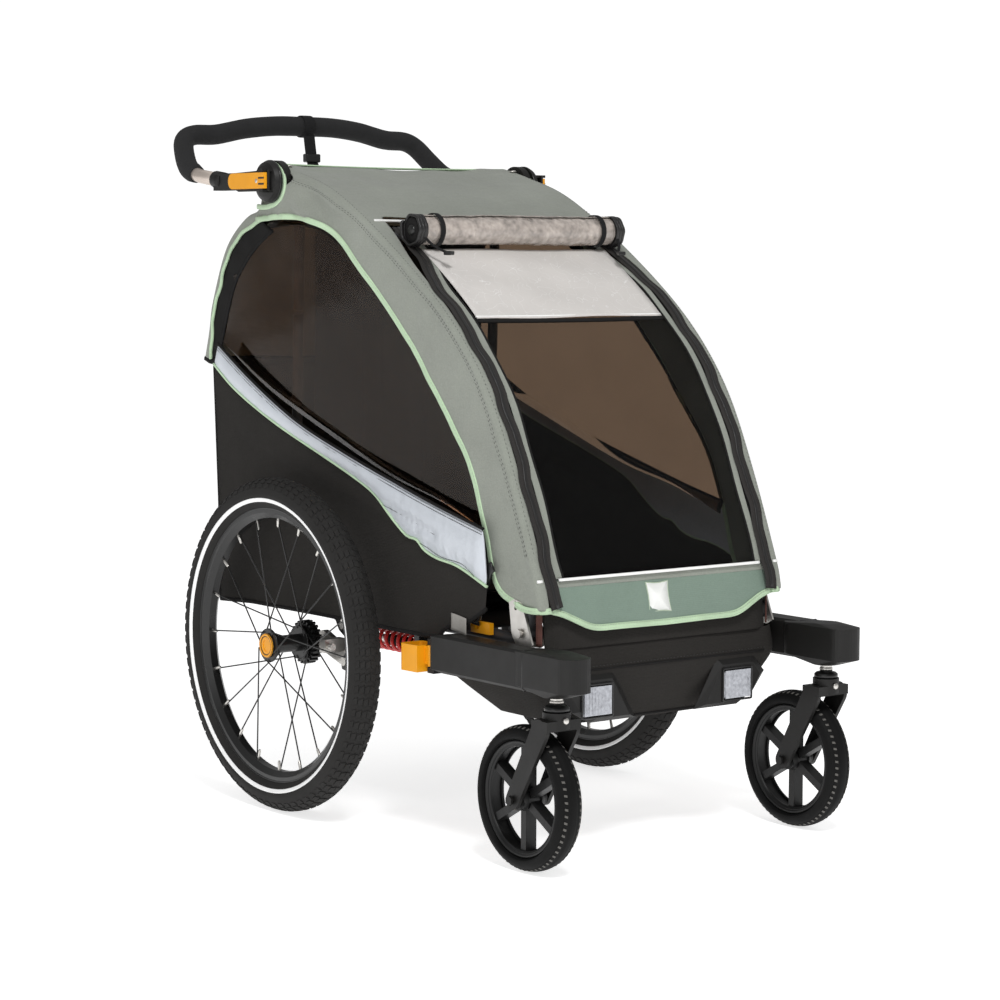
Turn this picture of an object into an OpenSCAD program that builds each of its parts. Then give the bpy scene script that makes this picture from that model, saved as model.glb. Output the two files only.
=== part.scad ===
// Child bicycle trailer in its stroller form: a folding tube frame with a fabric
// cabin, sprung main wheels, two front casters on arms and a swinging push bar.
// The front faces -Y, the right side is -X, and the wheels stand on Z = 0.

/* [Overall] */
// From the middle of the trailer to the noses of the front arms
nose_reach = 526; // [525:1:541]
// Facets on round parts
round_fn = 48; // [32:4:96]

/* [Main wheels] */
// Radius over the tread
wheel_r = 250; // [248:1:251]
// Half of the tyre's width
tyre_half_w = 24; // [20:1:25]
// From the centre plane to the middle of each tyre
wheel_x = 299; // [298:1:304]
// Spokes in each wheel
spoke_count = 20; // [16:4:24]
// Radius of each spoke
spoke_r = 1.1; // [1:0.1:1.5]
// Teeth on each brake ring
brake_teeth = 24; // [20:4:24]

/* [Casters] */
// Radius over the caster tyre
caster_r = 100; // [96:1:100]
// Half of the caster tyre's width
caster_half_w = 20; // [16:1:21]
// From the centre plane to the middle of each caster
caster_x = 247; // [245:1:249]
// How far the caster's axle trails its swivel
caster_trail = 60; // [56:1:62]
// Spokes in each caster rim
caster_spokes = 6; // [5:1:8]

/* [Cabin] */
// Half of the cover's width
cover_half_w = 222; // [221:0.5:223]
// Thickness of the fabric panels
fabric_t = 3; // [2:0.5:3]
// Half width of the lower body's side walls
wall_half_w = 239; // [238.5:0.5:239.5]
// Height of the hubs of the push bar
hub_z = 940; // [935:1:945]
// Radius of the frame tubes
tube_r = 9; // [8:0.5:9]

/* [Push bar] */
// Radius of the bare tube
bar_r = 11; // [10:0.5:11]
// Radius of the foam grip
grip_r = 16; // [15:0.5:16]
// Height of the middle of the grip
grip_z = 1039; // [1030:1:1042]

/* [Suspension] */
// Outer radius of each coil spring
spring_r = 17; // [15:0.5:17]
// Radius of the spring wire
wire_r = 2.5; // [2:0.25:2.5]
// Turns in each spring
spring_turns = 9; // [7:1:10]

/* [Hidden] */
$fn = round_fn;
hull_fn = 32;

// Places along the trailer
front_y = -nose_reach;
axle_y = 133;
stem_y = -471;
caster_y = stem_y + caster_trail;
hub_y = 241;
hinge_y = -360;
hinge_z = 316;
upright_y = 262;
upright_z = 304;
latch_z = 745;
rear_tube_y = 386;

// Frame tubes and fits
run_gap = 0.05;
pin_r = 4;
eye_r = 13;
rail_x = 206;
rail_z = 304;
rail_front_y = -334;
hoop_x = 210;
hoop_inset = 13;
upright_x = 187;
plate_t = 3;

// Side view of the cover as [y, z]: front corner to the top, then the window's edge
hoop_line = [[-384, 392], [-341, 520], [-279, 640], [-189, 740], [-54, 837],
    [94, 920], [208, 955], [262, 968]];
window_line = [[-303, 388], [-280, 451], [-240, 539], [-168, 626], [-70, 730],
    [31, 820], [110, 869], [220, 884], [299, 890]];
rear_line = [[304, 894], [345, 886], [402, 840], [443, 758], [455, 710], [468, 664]];
roll_half_w = 163;
roll_y = -56;
roll_z = 866;
window_rear = [[299, 886], [352, 838], [398, 762], [404, 692]];
band_top = [[398, 690], [275, 625], [112, 567], [-46, 514], [-171, 483], [-296, 455]];
band_bottom = [[412, 660], [339, 622], [209, 566], [58, 525], [-33, 491], [-97, 445],
    [-159, 422], [-232, 412], [-306, 388]];

// Lower body
wall_bottom_z = 291;
wall_rear_bottom_y = 391;
floor_side = [[-386, 384], [-404, 263], [-378, 186], [-250, 183], [-176, 232], [-150, 291]];
floor_half = [[165, 183], [190, 214], [206, 233], [220, 253], [228, 290], [228, 400]];
front_half_w = 196;
floor_half_w = 176;
rear_half_w = 217;
shell_front_y = -403.2;
housing_front_y = -411;
lens_x = 105;
lens_z = 201;
lens_w = 48;
lens_h = 40;

// Main wheel
bead_r = 204;
rim_inner_r = 190;
rim_half_w = 13;
hub_inner_x = 242;
hub_outer_x = 318;
hub_r = 13;
axle_r = 6;
flange_r = 24;
flange_t = 3;
inner_flange_x = 264;
ring_r = 33;
ring_root_r = 28.5;
ring_w = 15;
button_r = 13;

// Swing arm
arm_x0 = 211;
arm_x1 = 221;
pivot_y = 65;
pivot_z = 226;
horn_y = 43;
spring_z = 271;
spring_x = 216;
spring_rear_y = 32;
spring_front_y = -118;
seat_r = spring_r - 2 * wire_r - 1.5;
pawl_x = 250;
pawl_r = 3;
pawl_tip_r = 1.8;

// Front arm and caster
arm_z0 = 250;
arm_z1 = 304;
arm_rear_y = -206;
arm_half_w = 19;
block_half_w = 25;
block_rear_y = -418;
block_corner_r = 22;
stem_r = 7;
fork_half_w = 29;
cup_pin_y = -203;
cup_pin_x = 258;
cup_front_y = -191;
cup_rear_y = -150;
cup_half_w = 18;
cup_z0 = 246;
cup_z1 = 284;
cup_wall = 4;
lug_z = [246, 286];
lug_h = 8;
cup_pin_r = 3;

// Push bar
hub_dome_r = 32;
dome_x0 = 240;
dome_x1 = 258;
bar_x = 250;
socket_end_y = 376;
bar_bend_y = 433;
lever_x0 = 262;
lever_x1 = 268.5;
lever_pin_x = 265.2;
lever_pin_y = 223;
lever_pin_r = 1.6;
bar_line = [[-bar_x, bar_bend_y - 1, 951.9], [-247, 470, 964], [-238, 500, 988], [-226, 520, 1010],
    [-205, 525, 1020], [-165, 524.5, 1022], [-110, 521, 1033], [-55, 517, 1038.5], [0, 515, grip_z]];

// ---- helpers ----
function unit(v) = v / norm(v);
function reversed(p) = [for (i = [len(p) - 1:-1:0]) p[i]];
function at(p, i) = p[min(max(i, 0), len(p) - 1)];
function blend4(a, b, c, d, t) = 0.5 * (2 * b + (c - a) * t
    + (2 * a - 5 * b + 4 * c - d) * t * t + (3 * b - a - 3 * c + d) * t * t * t);
function smooth(p, n = 4) = [for (i = [0:len(p) - 2]) for (k = [0:n - 1])
    blend4(at(p, i - 1), p[i], p[i + 1], at(p, i + 2), k / n), p[len(p) - 1]];
function side_step(p, i) = let (t = unit(at(p, i + 1) - at(p, i - 1))) [t[1], -t[0]];
function shifted(p, d) = [for (i = [0:len(p) - 1]) p[i] + d * side_step(p, i)];
function between(a, b, t) = a + (b - a) * t;
function mirrored_line(p) = concat(p, [for (i = [len(p) - 2:-1:0]) [-p[i][0], p[i][1], p[i][2]]]);
function ring_at(c, t, up, r, n) = let (s = unit(cross(t, up)), u = cross(s, t))
    [for (k = [0:n - 1]) c + r * (cos(360 * k / n) * s + sin(360 * k / n) * u)];

// Puts a drawing of the side view [y, z] between two places across the trailer
module across(x0, x1) {
    translate([x0, 0, 0]) rotate([90, 0, 90]) linear_extrude(x1 - x0) children();
}

// Puts a drawing of the front view [x, z] between two places along the trailer
module along(y0, y1) {
    translate([0, y1, 0]) rotate([90, 0, 0]) linear_extrude(y1 - y0) children();
}

// Keeps a left-hand part as it is, or mirrors it to the right
module on_side(s) {
    if (s > 0) children();
    else mirror([1, 0, 0]) children();
}

module both_sides() {
    for (s = [1, -1]) on_side(s) children();
}

module x_rod(x0, x1, y, z, r) {
    translate([x0, y, z]) rotate([0, 90, 0]) cylinder(h = x1 - x0, r = r);
}

module y_rod(x, y0, y1, z, r) {
    translate([x, y0, z]) rotate([-90, 0, 0]) cylinder(h = y1 - y0, r = r);
}

module rod(a, b, r) {
    d = b - a;
    tilt = acos(d[2] / norm(d));
    turn = atan2(d[1], d[0]);
    translate(a) rotate([0, tilt, turn]) cylinder(h = norm(d), r = r);
}

// Turns a profile [radius, x] about the line across the trailer at y, z
module x_turned(x, y, z) {
    translate([x, y, z]) rotate([0, 90, 0]) rotate_extrude() children();
}

// A round tube of n sides along a list of points
module swept(path, r, n, up = [1, 0, 0]) {
    last = len(path) - 1;
    points = [for (i = [0:last]) for (q = ring_at(path[i],
        unit(at(path, i + 1) - at(path, i - 1)), up, r, n)) q];
    skin = [for (i = [0:last - 1]) for (k = [0:n - 1]) for (h = [0, 1]) h == 0
        ? [i * n + k, i * n + (k + 1) % n, (i + 1) * n + (k + 1) % n]
        : [i * n + k, (i + 1) * n + (k + 1) % n, (i + 1) * n + k]];
    near_cap = [[for (k = [n - 1:-1:0]) k]];
    far_cap = [[for (k = [0:n - 1]) last * n + k]];
    polyhedron(points, concat(skin, near_cap, far_cap));
}

// A sheet of a given thickness that follows a side-view line
module side_sheet(line, t) {
    polygon(concat(line, reversed(shifted(line, t))));
}

// ---- base frame ----
module base_frame() {
    color("dimgray") union() {
        for (s = [-1, 1]) {
            y_rod(s * rail_x, rail_front_y, rear_tube_y, rail_z, tube_r);
            translate([s * rail_x, rear_tube_y, rail_z]) sphere(tube_r);
            translate([s * rail_x, rail_front_y, rail_z]) sphere(tube_r);
        }
        for (y = [rail_front_y, pivot_y - 45, rear_tube_y])
            x_rod(-rail_x, rail_x, y, rail_z, tube_r);
    }
}

module frame_plates() {
    color("silver") both_sides() {
        // Front hinge plates, inside and outside the cage's lower end
        for (x = [197, 220]) difference() {
            across(x, x + plate_t) polygon([[-386, 303], [-374, 296], [-352, 295], [-340, 314.5],
                [-334, 357], [-345, 362], [-362, 359]]);
            x_rod(x - 1, x + plate_t + 1, hinge_y, hinge_z, pin_r);
            if (x > hoop_x) x_rod(x - 1, x + plate_t + 1, -349, 350, pin_r - 1);
        }
        // Receivers that the front arms plug on to, with a hitch-pin hole right through
        difference() {
            translate([200, -345, 262]) cube([33, 40, 30]);
            translate([226, -325, 261]) cylinder(h = 32, r = pin_r + 0.1);
        }
        // Rear corner plates
        across(219, 222) polygon([[392, 289], [420, 288], [441, 366], [424, 367], [400, 330]]);
    }
}

module frame_bolts() {
    color("gainsboro") both_sides() {
        x_rod(195.5, 225.5, hinge_y, hinge_z, pin_r);
        x_rod(225.5, 228.5, hinge_y, hinge_z, pin_r + 2.5);
        x_rod(192.5, 195.5, hinge_y, hinge_z, pin_r + 2.5);
        x_rod(176, 197, upright_y, upright_z, pin_r);
        x_rod(174.5, 177.5, upright_y, upright_z, pin_r + 2.5);
        x_rod(204.5, 226.5, pivot_y, pivot_z, pin_r);
        x_rod(226.5, 229.5, pivot_y, pivot_z, pin_r + 2.5);
        x_rod(226.5, 229.5, pivot_y + 4, 279, pin_r + 1);
    }
}

// ---- lower body ----
module floor_block(inset, rise) {
    side = shifted(floor_side, inset);
    half = [for (p = floor_half) [p[0] - inset, p[1]]];
    intersection() {
        across(-260, 260) polygon(concat(side, [[side[5][0], 400 + rise], [side[0][0], 400 + rise]]));
        along(-420, -100) polygon(concat(half, reversed([for (p = half) [-p[0], p[1]]])));
    }
}

module floor_shell() {
    color("darkslategray") difference() {
        floor_block(0, 0);
        floor_block(-fabric_t, 20);
        // Room for the side rails, their plates and the front receivers
        along(-397, -100) polygon([[-260, 294], [260, 294], [260, 440], [-260, 440]]);
        both_sides() translate([190, -346, 261]) cube([70, 42, 40]);
    }
    color("darkslategray") across(-front_half_w, front_half_w)
        polygon([[-397.2, 296], [-385.6, 384], [-382.6, 384], [-394.2, 296]]);
    color("darkslategray") across(-floor_half_w, floor_half_w)
        polygon([[-151.5, 291], [362, 291], [362, 294], [-151.5, 294]]);
}

module side_wall(s) {
    color("darkslategray") on_side(s) across(wall_half_w - fabric_t, wall_half_w)
        polygon(concat(shifted(smooth(band_bottom), -0.5), [[-300, 345], [-262, 322], [-208, 309],
            [-192, wall_bottom_z], [wall_rear_bottom_y, wall_bottom_z]]));
}

module side_band(s) {
    color("lightgray") on_side(s) across(wall_half_w - fabric_t, wall_half_w)
        polygon(concat(smooth(band_top), reversed(smooth(band_bottom))));
}

module rear_panel() {
    color("darkslategray") across(-rear_half_w, rear_half_w)
        polygon([[398, 322], [401, 322], [412, 655], [409, 655]]);
}

module seat_pan() {
    color("black") across(-174, 174)
        polygon([[-62, 326], [-50, 340], [0, 336], [200, 328], [252, 332], [252, 322], [200, 317],
            [0, 325], [-50, 326]]);
}

module seat_back() {
    color("black") across(-172, 172)
        polygon([[256, 340], [231, 880], [241, 882], [268, 342]]);
}

module harness() {
    color("black") {
        for (x = [-62, 62]) across(x - 19, x + 19)
            polygon([[250.5, 362], [229.5, 800], [225.5, 800], [244, 362]]);
        translate([-20, 60, 344]) cube([40, 60, 14]);
        translate([-10, 130, 344]) cube([20, 90, 4]);
    }
}

module reflector_housings() {
    color("black") both_sides() difference() {
        hull() {
            along(shell_front_y - 0.4, shell_front_y + 0.6) polygon([[54, 190], [96, 258], [165, 258],
                [188, 234], [166, 206], [135, 190]]);
            along(housing_front_y, housing_front_y + 1) polygon([[70, 196], [102, 250], [158, 250],
                [174, 230], [158, 208], [130, 196]]);
        }
        translate([lens_x - 2, housing_front_y - 10, lens_z - 2]) cube([lens_w + 4, 14, lens_h + 4]);
    }
}

module reflector_lenses() {
    color("white") both_sides() translate([lens_x, housing_front_y - 3, lens_z])
        cube([lens_w, 6.5, lens_h]);
}

module suspension_brackets() {
    color("black") both_sides() {
        difference() {
            union() {
                for (x = [205.5, 222.5]) across(x, x + 4)
                    polygon([[42, 290], [42, 262], [48, 218], [60, 212], [72, 214], [75, 226],
                        [62, 240], [62, 262], [80, 272], [92, 290]]);
                translate([205.5, 42, 286]) cube([21, 50, 8]);
            }
            x_rod(200, 232, pivot_y, pivot_z, pin_r);
        }
        // Front seat of the coil spring
        difference() {
            translate([199, -136, 258]) cube([34, 12, 36]);
            translate([190, -140, 286]) cube([12, 20, 3]);
        }
    }
    color("silver") both_sides() y_rod(spring_x, -124, -110, spring_z, seat_r);
}

module strap_anchors() {
    color("orange") both_sides() difference() {
        translate([216, -290, 306]) cube([7, 44, 16]);
        x_rod(210, 230, -262, 314, 3);
    }
}

// ---- front arms ----
module stroller_arm(s) {
    h = arm_z1 - arm_z0 - 8;
    arm_x = caster_x + 5;
    block_dx = block_half_w - block_corner_r;
    color("black") on_side(s) difference() {
        union() {
            hull() {
                for (y = [arm_rear_y - 12, -420]) for (dx = [-arm_half_w + 6, arm_half_w - 6])
                    translate([arm_x + dx, y, arm_z0 + 4]) cylinder(h = h, r = 6, $fn = hull_fn);
                translate([arm_x - arm_half_w + 4, -440, arm_z0])
                    cube([2 * arm_half_w - 8, 200, arm_z1 - arm_z0]);
            }
            hull() {
                for (y = [front_y + block_corner_r, block_rear_y]) for (dx = [-block_dx, block_dx])
                    translate([caster_x + dx, y, arm_z0 + 6])
                        cylinder(h = h, r = block_corner_r, $fn = hull_fn);
                translate([caster_x, stem_y, arm_z0 - 4]) cylinder(h = h + 14, r = 20, $fn = hull_fn);
            }
            // Lugs and pin of the release cup
            for (z = lug_z) translate([cup_pin_x, cup_pin_y, z]) cylinder(h = lug_h, r = 7);
            for (z = lug_z) translate([cup_pin_x - 7, -216, z]) cube([14, 13, lug_h]);
            translate([cup_pin_x, cup_pin_y, 250]) cylinder(h = 40, r = cup_pin_r);
        }
        translate([caster_x, stem_y, arm_z0 - 20]) cylinder(h = 50, r = stem_r + run_gap);
    }
}

// A cup open at the top, with its wall set in by inset and its floor raised by rise
module cup_solid(inset, rise, h) {
    corner_r = 8;
    hull() {
        for (dx = [-12, 12]) translate([cup_pin_x + dx, cup_rear_y - corner_r, cup_z0 + rise])
            cylinder(h = h, r = corner_r - inset, $fn = hull_fn);
        translate([cup_pin_x - cup_half_w + inset, cup_front_y + inset, cup_z0 + rise])
            cube([2 * (cup_half_w - inset), 20, h]);
    }
}

module arm_lever(s) {
    color("orange") on_side(s) difference() {
        union() {
            translate([cup_pin_x, cup_pin_y, 255]) cylinder(h = 30, r = 6.5);
            translate([cup_pin_x - 4, cup_pin_y, 257]) cube([8, 14, 26]);
            cup_solid(0, 0, cup_z1 - cup_z0);
        }
        translate([cup_pin_x, cup_pin_y, 250]) cylinder(h = 40, r = cup_pin_r + run_gap);
        cup_solid(cup_wall, cup_wall, cup_z1 - cup_z0);
    }
}

// ---- casters ----
module fork(s) {
    color("black") on_side(s) difference() {
        union() {
            translate([caster_x, stem_y, 204]) cylinder(h = 22, r = 19);
            translate([caster_x, stem_y, 226]) cylinder(h = 40, r = stem_r);
            translate([caster_x - fork_half_w, stem_y - 16, 202]) cube([2 * fork_half_w, 34, 14]);
            for (x = [caster_x - fork_half_w, caster_x + fork_half_w - 6]) hull() {
                x_rod(x, x + 6, caster_y, caster_r, 13, $fn = hull_fn);
                x_rod(x, x + 6, stem_y + 2, 202, 16, $fn = hull_fn);
            }
        }
        x_rod(200, 300, caster_y, caster_r, pin_r, $fn = 48);
    }
    color("silver") on_side(s) {
        x_rod(caster_x - fork_half_w - 2, caster_x + fork_half_w + 2, caster_y, caster_r, pin_r, $fn = 48);
        x_rod(caster_x - fork_half_w - 6, caster_x - fork_half_w - 2, caster_y, caster_r, 7, $fn = 6);
        x_rod(caster_x + fork_half_w + 2, caster_x + fork_half_w + 6, caster_y, caster_r, 7, $fn = 6);
    }
}

module caster_tyre(s) {
    color("black") on_side(s) x_turned(caster_x, caster_y, caster_r)
        polygon(concat([[80, -13], [80, 13]], [for (a = [110:-10:-110])
            [caster_r - caster_half_w * 0.7 + caster_half_w * 0.7 * cos(a), caster_half_w * sin(a)]]));
}

module caster_rim(s) {
    spoke_w = 11;
    color("black") on_side(s) difference() {
        union() {
            x_turned(caster_x, caster_y, caster_r) {
                translate([74, -13]) square([6, 26]);
                translate([0, -20]) square([15, 40]);
            }
            translate([caster_x, caster_y, caster_r]) for (k = [1:caster_spokes])
                rotate([360 * k / caster_spokes, 0, 0]) translate([-9, -spoke_w / 2, 10])
                    cube([18, spoke_w, 66]);
        }
        x_rod(200, 300, caster_y, caster_r, pin_r + run_gap);
    }
}

// ---- main wheels ----
module tyre(s) {
    color("black") on_side(s) x_turned(wheel_x, axle_y, wheel_r)
        polygon(concat([[bead_r, -rim_half_w], [bead_r, rim_half_w]], [for (a = [120:-10:-120])
            [wheel_r - tyre_half_w + tyre_half_w * cos(a), tyre_half_w * sin(a)]]));
}

module rim(s) {
    color("black") on_side(s) x_turned(wheel_x, axle_y, wheel_r)
        polygon([[bead_r, -rim_half_w], [bead_r, rim_half_w], [198, rim_half_w], [rim_inner_r, 6],
            [rim_inner_r, -6], [198, -rim_half_w]]);
}

module spokes(s) {
    step = 360 / spoke_count;
    color("black") on_side(s) for (k = [0:spoke_count - 1]) {
        outer = k % 2 == 0;
        lean = (k % 4 < 2 ? 1 : -1) * 58;
        a = k * step;
        face = (k % 4 < 2 ? 1 : -1) * (flange_t / 2 + spoke_r + 1.2);
        x = (outer ? hub_outer_x : inner_flange_x) - flange_t / 2 + face - wheel_x;
        foot_r = flange_r - 2;
        centre = [wheel_x, axle_y, wheel_r];
        rod([x, foot_r * cos(a + lean), foot_r * sin(a + lean)] + centre,
            [face / 2, rim_inner_r * cos(a), rim_inner_r * sin(a)] + centre, spoke_r, $fn = 16);
    }
}

module hub(s) {
    pitch = 360 / brake_teeth;
    tooth = [for (k = [0:brake_teeth - 1]) for (q = [[0.3, ring_root_r], [0.3, ring_r], [0.7, ring_r],
        [0.7, ring_root_r]]) q[1] * [cos((k + q[0]) * pitch), sin((k + q[0]) * pitch)]];
    color("black") on_side(s) difference() {
        translate([0, axle_y, wheel_r]) union() {
            translate([hub_inner_x, 0, 0]) rotate([90, 0, 90]) linear_extrude(ring_w) polygon(tooth);
            x_rod(hub_inner_x + ring_w - 1, hub_outer_x, 0, 0, hub_r);
            x_rod(inner_flange_x - flange_t, inner_flange_x, 0, 0, flange_r);
            x_rod(hub_outer_x - flange_t, hub_outer_x, 0, 0, flange_r);
            x_rod(hub_outer_x - 12, hub_outer_x + 4, 0, 0, 18);
        }
        x_rod(hub_inner_x - 1, hub_outer_x + 5, axle_y, wheel_r, axle_r + run_gap);
        x_rod(hub_outer_x - 5, hub_outer_x + 5, axle_y, wheel_r, button_r + 0.5);
    }
}

module axle_button(s) {
    color("orange") on_side(s) difference() {
        union() {
            x_rod(hub_outer_x - 1, hub_outer_x + 3.4, axle_y, wheel_r, button_r);
            x_rod(hub_outer_x - 16, hub_outer_x - 1, axle_y, wheel_r, 3);
        }
        x_rod(hub_outer_x + 2.4, hub_outer_x + 4, axle_y, wheel_r, button_r - 4);
    }
}

// ---- suspension and brake ----
module swing_arm(s) {
    color("silver") on_side(s) difference() {
        union() {
            hull() {
                x_rod(arm_x0, arm_x1, pivot_y, pivot_z, 12, $fn = hull_fn);
                x_rod(arm_x0, arm_x1, axle_y, wheel_r, 15, $fn = hull_fn);
            }
            hull() {
                x_rod(arm_x0, arm_x1, pivot_y, pivot_z, 10, $fn = hull_fn);
                x_rod(arm_x0, arm_x1, horn_y, spring_z - 2, 8, $fn = hull_fn);
            }
            y_rod(spring_x, spring_rear_y - 8, spring_rear_y + 6, spring_z, seat_r);
            x_rod(arm_x1 - 1, hub_outer_x - 6, axle_y, wheel_r, axle_r);
            translate([arm_x1 - 1, 72, 240]) cube([36, 16, 20]);
        }
        x_rod(arm_x0 - 1, arm_x1 + 1, pivot_y, pivot_z, pin_r + run_gap);
        x_rod(hub_outer_x - 24, hub_outer_x, axle_y, wheel_r, 3 + run_gap);
        y_rod(pawl_x, 60, 100, wheel_r, pawl_r + run_gap);
    }
}

module spring(s) {
    steps = spring_turns * 12;
    reach = spring_rear_y - 8 - (spring_front_y - 6) - 2 * wire_r - 1;
    color("red") on_side(s) swept([for (i = [0:steps]) [
        spring_x + (spring_r - wire_r) * cos(30 * i),
        spring_front_y - 6 + wire_r + 0.5 + reach * i / steps,
        spring_z + (spring_r - wire_r) * sin(30 * i)]], wire_r, 6, [0, 1, 0.001]);
}

module brake_pawl(s) {
    tip_y = axle_y - ring_r - 1.5;
    color("dimgray") on_side(s) union() {
        y_rod(pawl_x, 66, tip_y - 5, wheel_r, pawl_r);
        y_rod(pawl_x, tip_y - 6, tip_y, wheel_r, pawl_tip_r);
        y_rod(pawl_x, 60, 66.5, wheel_r, pawl_r + 2);
    }
}

module brake_pedal() {
    half_w = 34;
    color("black") difference() {
        union() {
            x_rod(-half_w, half_w, rear_tube_y, rail_z, tube_r + 5);
            across(-half_w, half_w) polygon([[rear_tube_y - 4, 292], [rear_tube_y + 30, 262],
                [rear_tube_y + 64, 268], [rear_tube_y + 64, 262], [rear_tube_y + 28, 254],
                [rear_tube_y - 12, 290]]);
        }
        x_rod(-half_w - 1, half_w + 1, rear_tube_y, rail_z, tube_r + run_gap);
    }
}

// ---- roll cage ----
module roll_cage() {
    hoop = shifted(smooth([for (i = [0:len(hoop_line) - 2]) hoop_line[i]], 2), hoop_inset);
    foot = [hinge_y, hinge_z + 3];
    side_path = concat([foot], hoop, [[hub_y + 3, hub_z + 0.5]]);
    color("dimgray") difference() {
        union() {
            for (s = [-1, 1]) {
                swept([for (p = side_path) [s * hoop_x, p[0], p[1]]], tube_r, 10);
                x_rod(s * hoop_x - tube_r - 0.5, s * hoop_x + tube_r + 0.5, hinge_y, hinge_z, eye_r);
                rod([s * upright_x, hub_y, hub_z], [s * upright_x, between(hub_y, upright_y,
                    (hub_z - latch_z) / (hub_z - upright_z)), latch_z], tube_r - 1);
            }
            x_rod(-hoop_x, hoop_x, hub_y, hub_z, tube_r);
            x_rod(-hoop_x, hoop_x, 16, 857, tube_r - 2);
            x_rod(-dome_x0 - 14, dome_x0 + 14, hub_y, hub_z, tube_r - 2);
        }
        x_rod(-240, 240, hinge_y, hinge_z, pin_r + run_gap);
    }
}

module hub_plates() {
    color("black") both_sides() difference() {
        x_rod(cover_half_w + 1, 235, hub_y, hub_z, hub_dome_r);
        x_rod(cover_half_w, 236, hub_y, hub_z, tube_r - 2);
    }
}

module rear_uprights() {
    top = between([upright_y, upright_z], [hub_y, hub_z], (latch_z - 6 - upright_z) / (hub_z - upright_z));
    color("dimgray") difference() {
        for (s = [-1, 1]) union() {
            rod([s * upright_x, upright_y, upright_z], [s * upright_x, top[0], top[1]], tube_r - 1);
            x_rod(s * upright_x - 7, s * upright_x + 5, upright_y, upright_z, eye_r - 1);
        }
        x_rod(-240, 240, upright_y, upright_z, pin_r + run_gap);
    }
}

// ---- cover ----
module front_gap(inset) {
    along(-430, 22) polygon([[-(204 - inset), 380], [204 - inset, 380], [178 - inset, 886 - inset],
        [-(178 - inset), 886 - inset]]);
}

module canopy() {
    top = smooth(hoop_line);
    edge = smooth(window_line);
    color("darkseagreen") difference() {
        union() {
            across(-cover_half_w, cover_half_w) side_sheet(top, fabric_t);
            both_sides() across(cover_half_w - fabric_t, cover_half_w) difference() {
                polygon(concat(top, reversed(edge)));
                translate([hub_y, hub_z]) circle(tube_r + 1);
            }
        }
        front_gap(0);
    }
}

module rear_cover() {
    rear = concat([[271, 967], [293, 916]], smooth(rear_line));
    inner = smooth(window_rear);
    color("darkseagreen") union() {
        across(-cover_half_w, cover_half_w) side_sheet(shifted(rear, 0), fabric_t);
        both_sides() across(cover_half_w - fabric_t, cover_half_w)
            polygon(concat(smooth(rear_line), [[452, 664]], reversed([for (p = inner) p + [5, -2]])));
    }
}

module side_window(s) {
    color([0.25, 0.18, 0.14, 0.6]) on_side(s) across(cover_half_w - 4.5, cover_half_w - 3.3)
        polygon(concat(smooth(window_line), smooth(window_rear),
            [for (i = [0:len(band_top) - 2]) band_top[i] + [-4, -6]], [[-262, 452]]));
}

module front_screen() {
    color([0.1, 0.1, 0.1, 0.7]) intersection() {
        across(-210, 210) side_sheet(shifted(smooth(hoop_line), 4.5), 1.5);
        front_gap(1.5);
    }
}

module sunshade() {
    shade_half_w = 168;
    color("whitesmoke") union() {
        intersection() {
            across(-shade_half_w, shade_half_w) side_sheet(shifted(smooth(hoop_line), 1.5), 1.5);
            along(-200, -40) polygon([[-shade_half_w, 736], [shade_half_w, 736], [shade_half_w, 860],
                [-shade_half_w, 860]]);
        }
        x_rod(-shade_half_w - 3, shade_half_w + 3, -193, 737, 4);
    }
}

module window_roll() {
    color([0.9, 0.9, 0.92, 0.5]) x_rod(-roll_half_w, roll_half_w, roll_y, roll_z, 19);
    color("black") both_sides() x_rod(roll_half_w, roll_half_w + 19, roll_y, roll_z, 21);
}

module front_apron() {
    color("darkseagreen") across(-218, 218)
        polygon([[-386.5, 389], [-391, 366], [-401, 322], [-404, 322], [-394, 366], [-389.5, 389]]);
}

// ---- push bar ----
module handle_sockets() {
    color("black") both_sides() difference() {
        union() {
            translate([dome_x0, hub_y, hub_z]) rotate([0, 90, 0]) rotate_extrude() polygon([[0, 0],
                [hub_dome_r, 0], [hub_dome_r, 5], [hub_dome_r - 3, 11], [hub_dome_r - 9, 15.5],
                [hub_dome_r - 18, dome_x1 - dome_x0], [0, dome_x1 - dome_x0]]);
            translate([dome_x0, hub_y, hub_z - 12]) cube([20, socket_end_y - hub_y, 26]);
            for (z = [hub_z - 17, hub_z + 14.5]) translate([dome_x0 + 10, lever_pin_y - 5, z])
                cube([20, 10, 4]);
            translate([lever_pin_x, lever_pin_y, hub_z - 15]) cylinder(h = 31, r = lever_pin_r, $fn = 24);
        }
        x_rod(dome_x0 - 1, dome_x0 + 14.5, hub_y, hub_z, tube_r - 2 + run_gap);
        y_rod(bar_x, socket_end_y - 60, socket_end_y + 1, hub_z + 2, bar_r - 2);
    }
}

module handle_tube() {
    path = mirrored_line(smooth(bar_line, 3));
    color("silver") union() {
        swept(path, bar_r - 1, 10, [0, -0.45, 0.9]);
        for (s = [-1, 1]) {
            rod([s * bar_x, socket_end_y + 1.6, hub_z + 5], [s * bar_x, bar_bend_y, 952], bar_r);
            y_rod(s * bar_x, socket_end_y - 50, socket_end_y + 5, hub_z + 2, bar_r - 2.1);
        }
    }
}

module handle_grip() {
    path = mirrored_line([for (i = [4:len(bar_line) * 3 - 3]) smooth(bar_line, 3)[i]]);
    color("black") difference() {
        swept(path, grip_r, 12, [0, -0.45, 0.9]);
        swept(mirrored_line(smooth(bar_line, 3)), bar_r - 0.9, 10, [0, -0.45, 0.9]);
    }
}

module grip_strap() {
    color("black") rod([0, 499, grip_z - 20], [0, 300, 930], 2.5);
}

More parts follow.
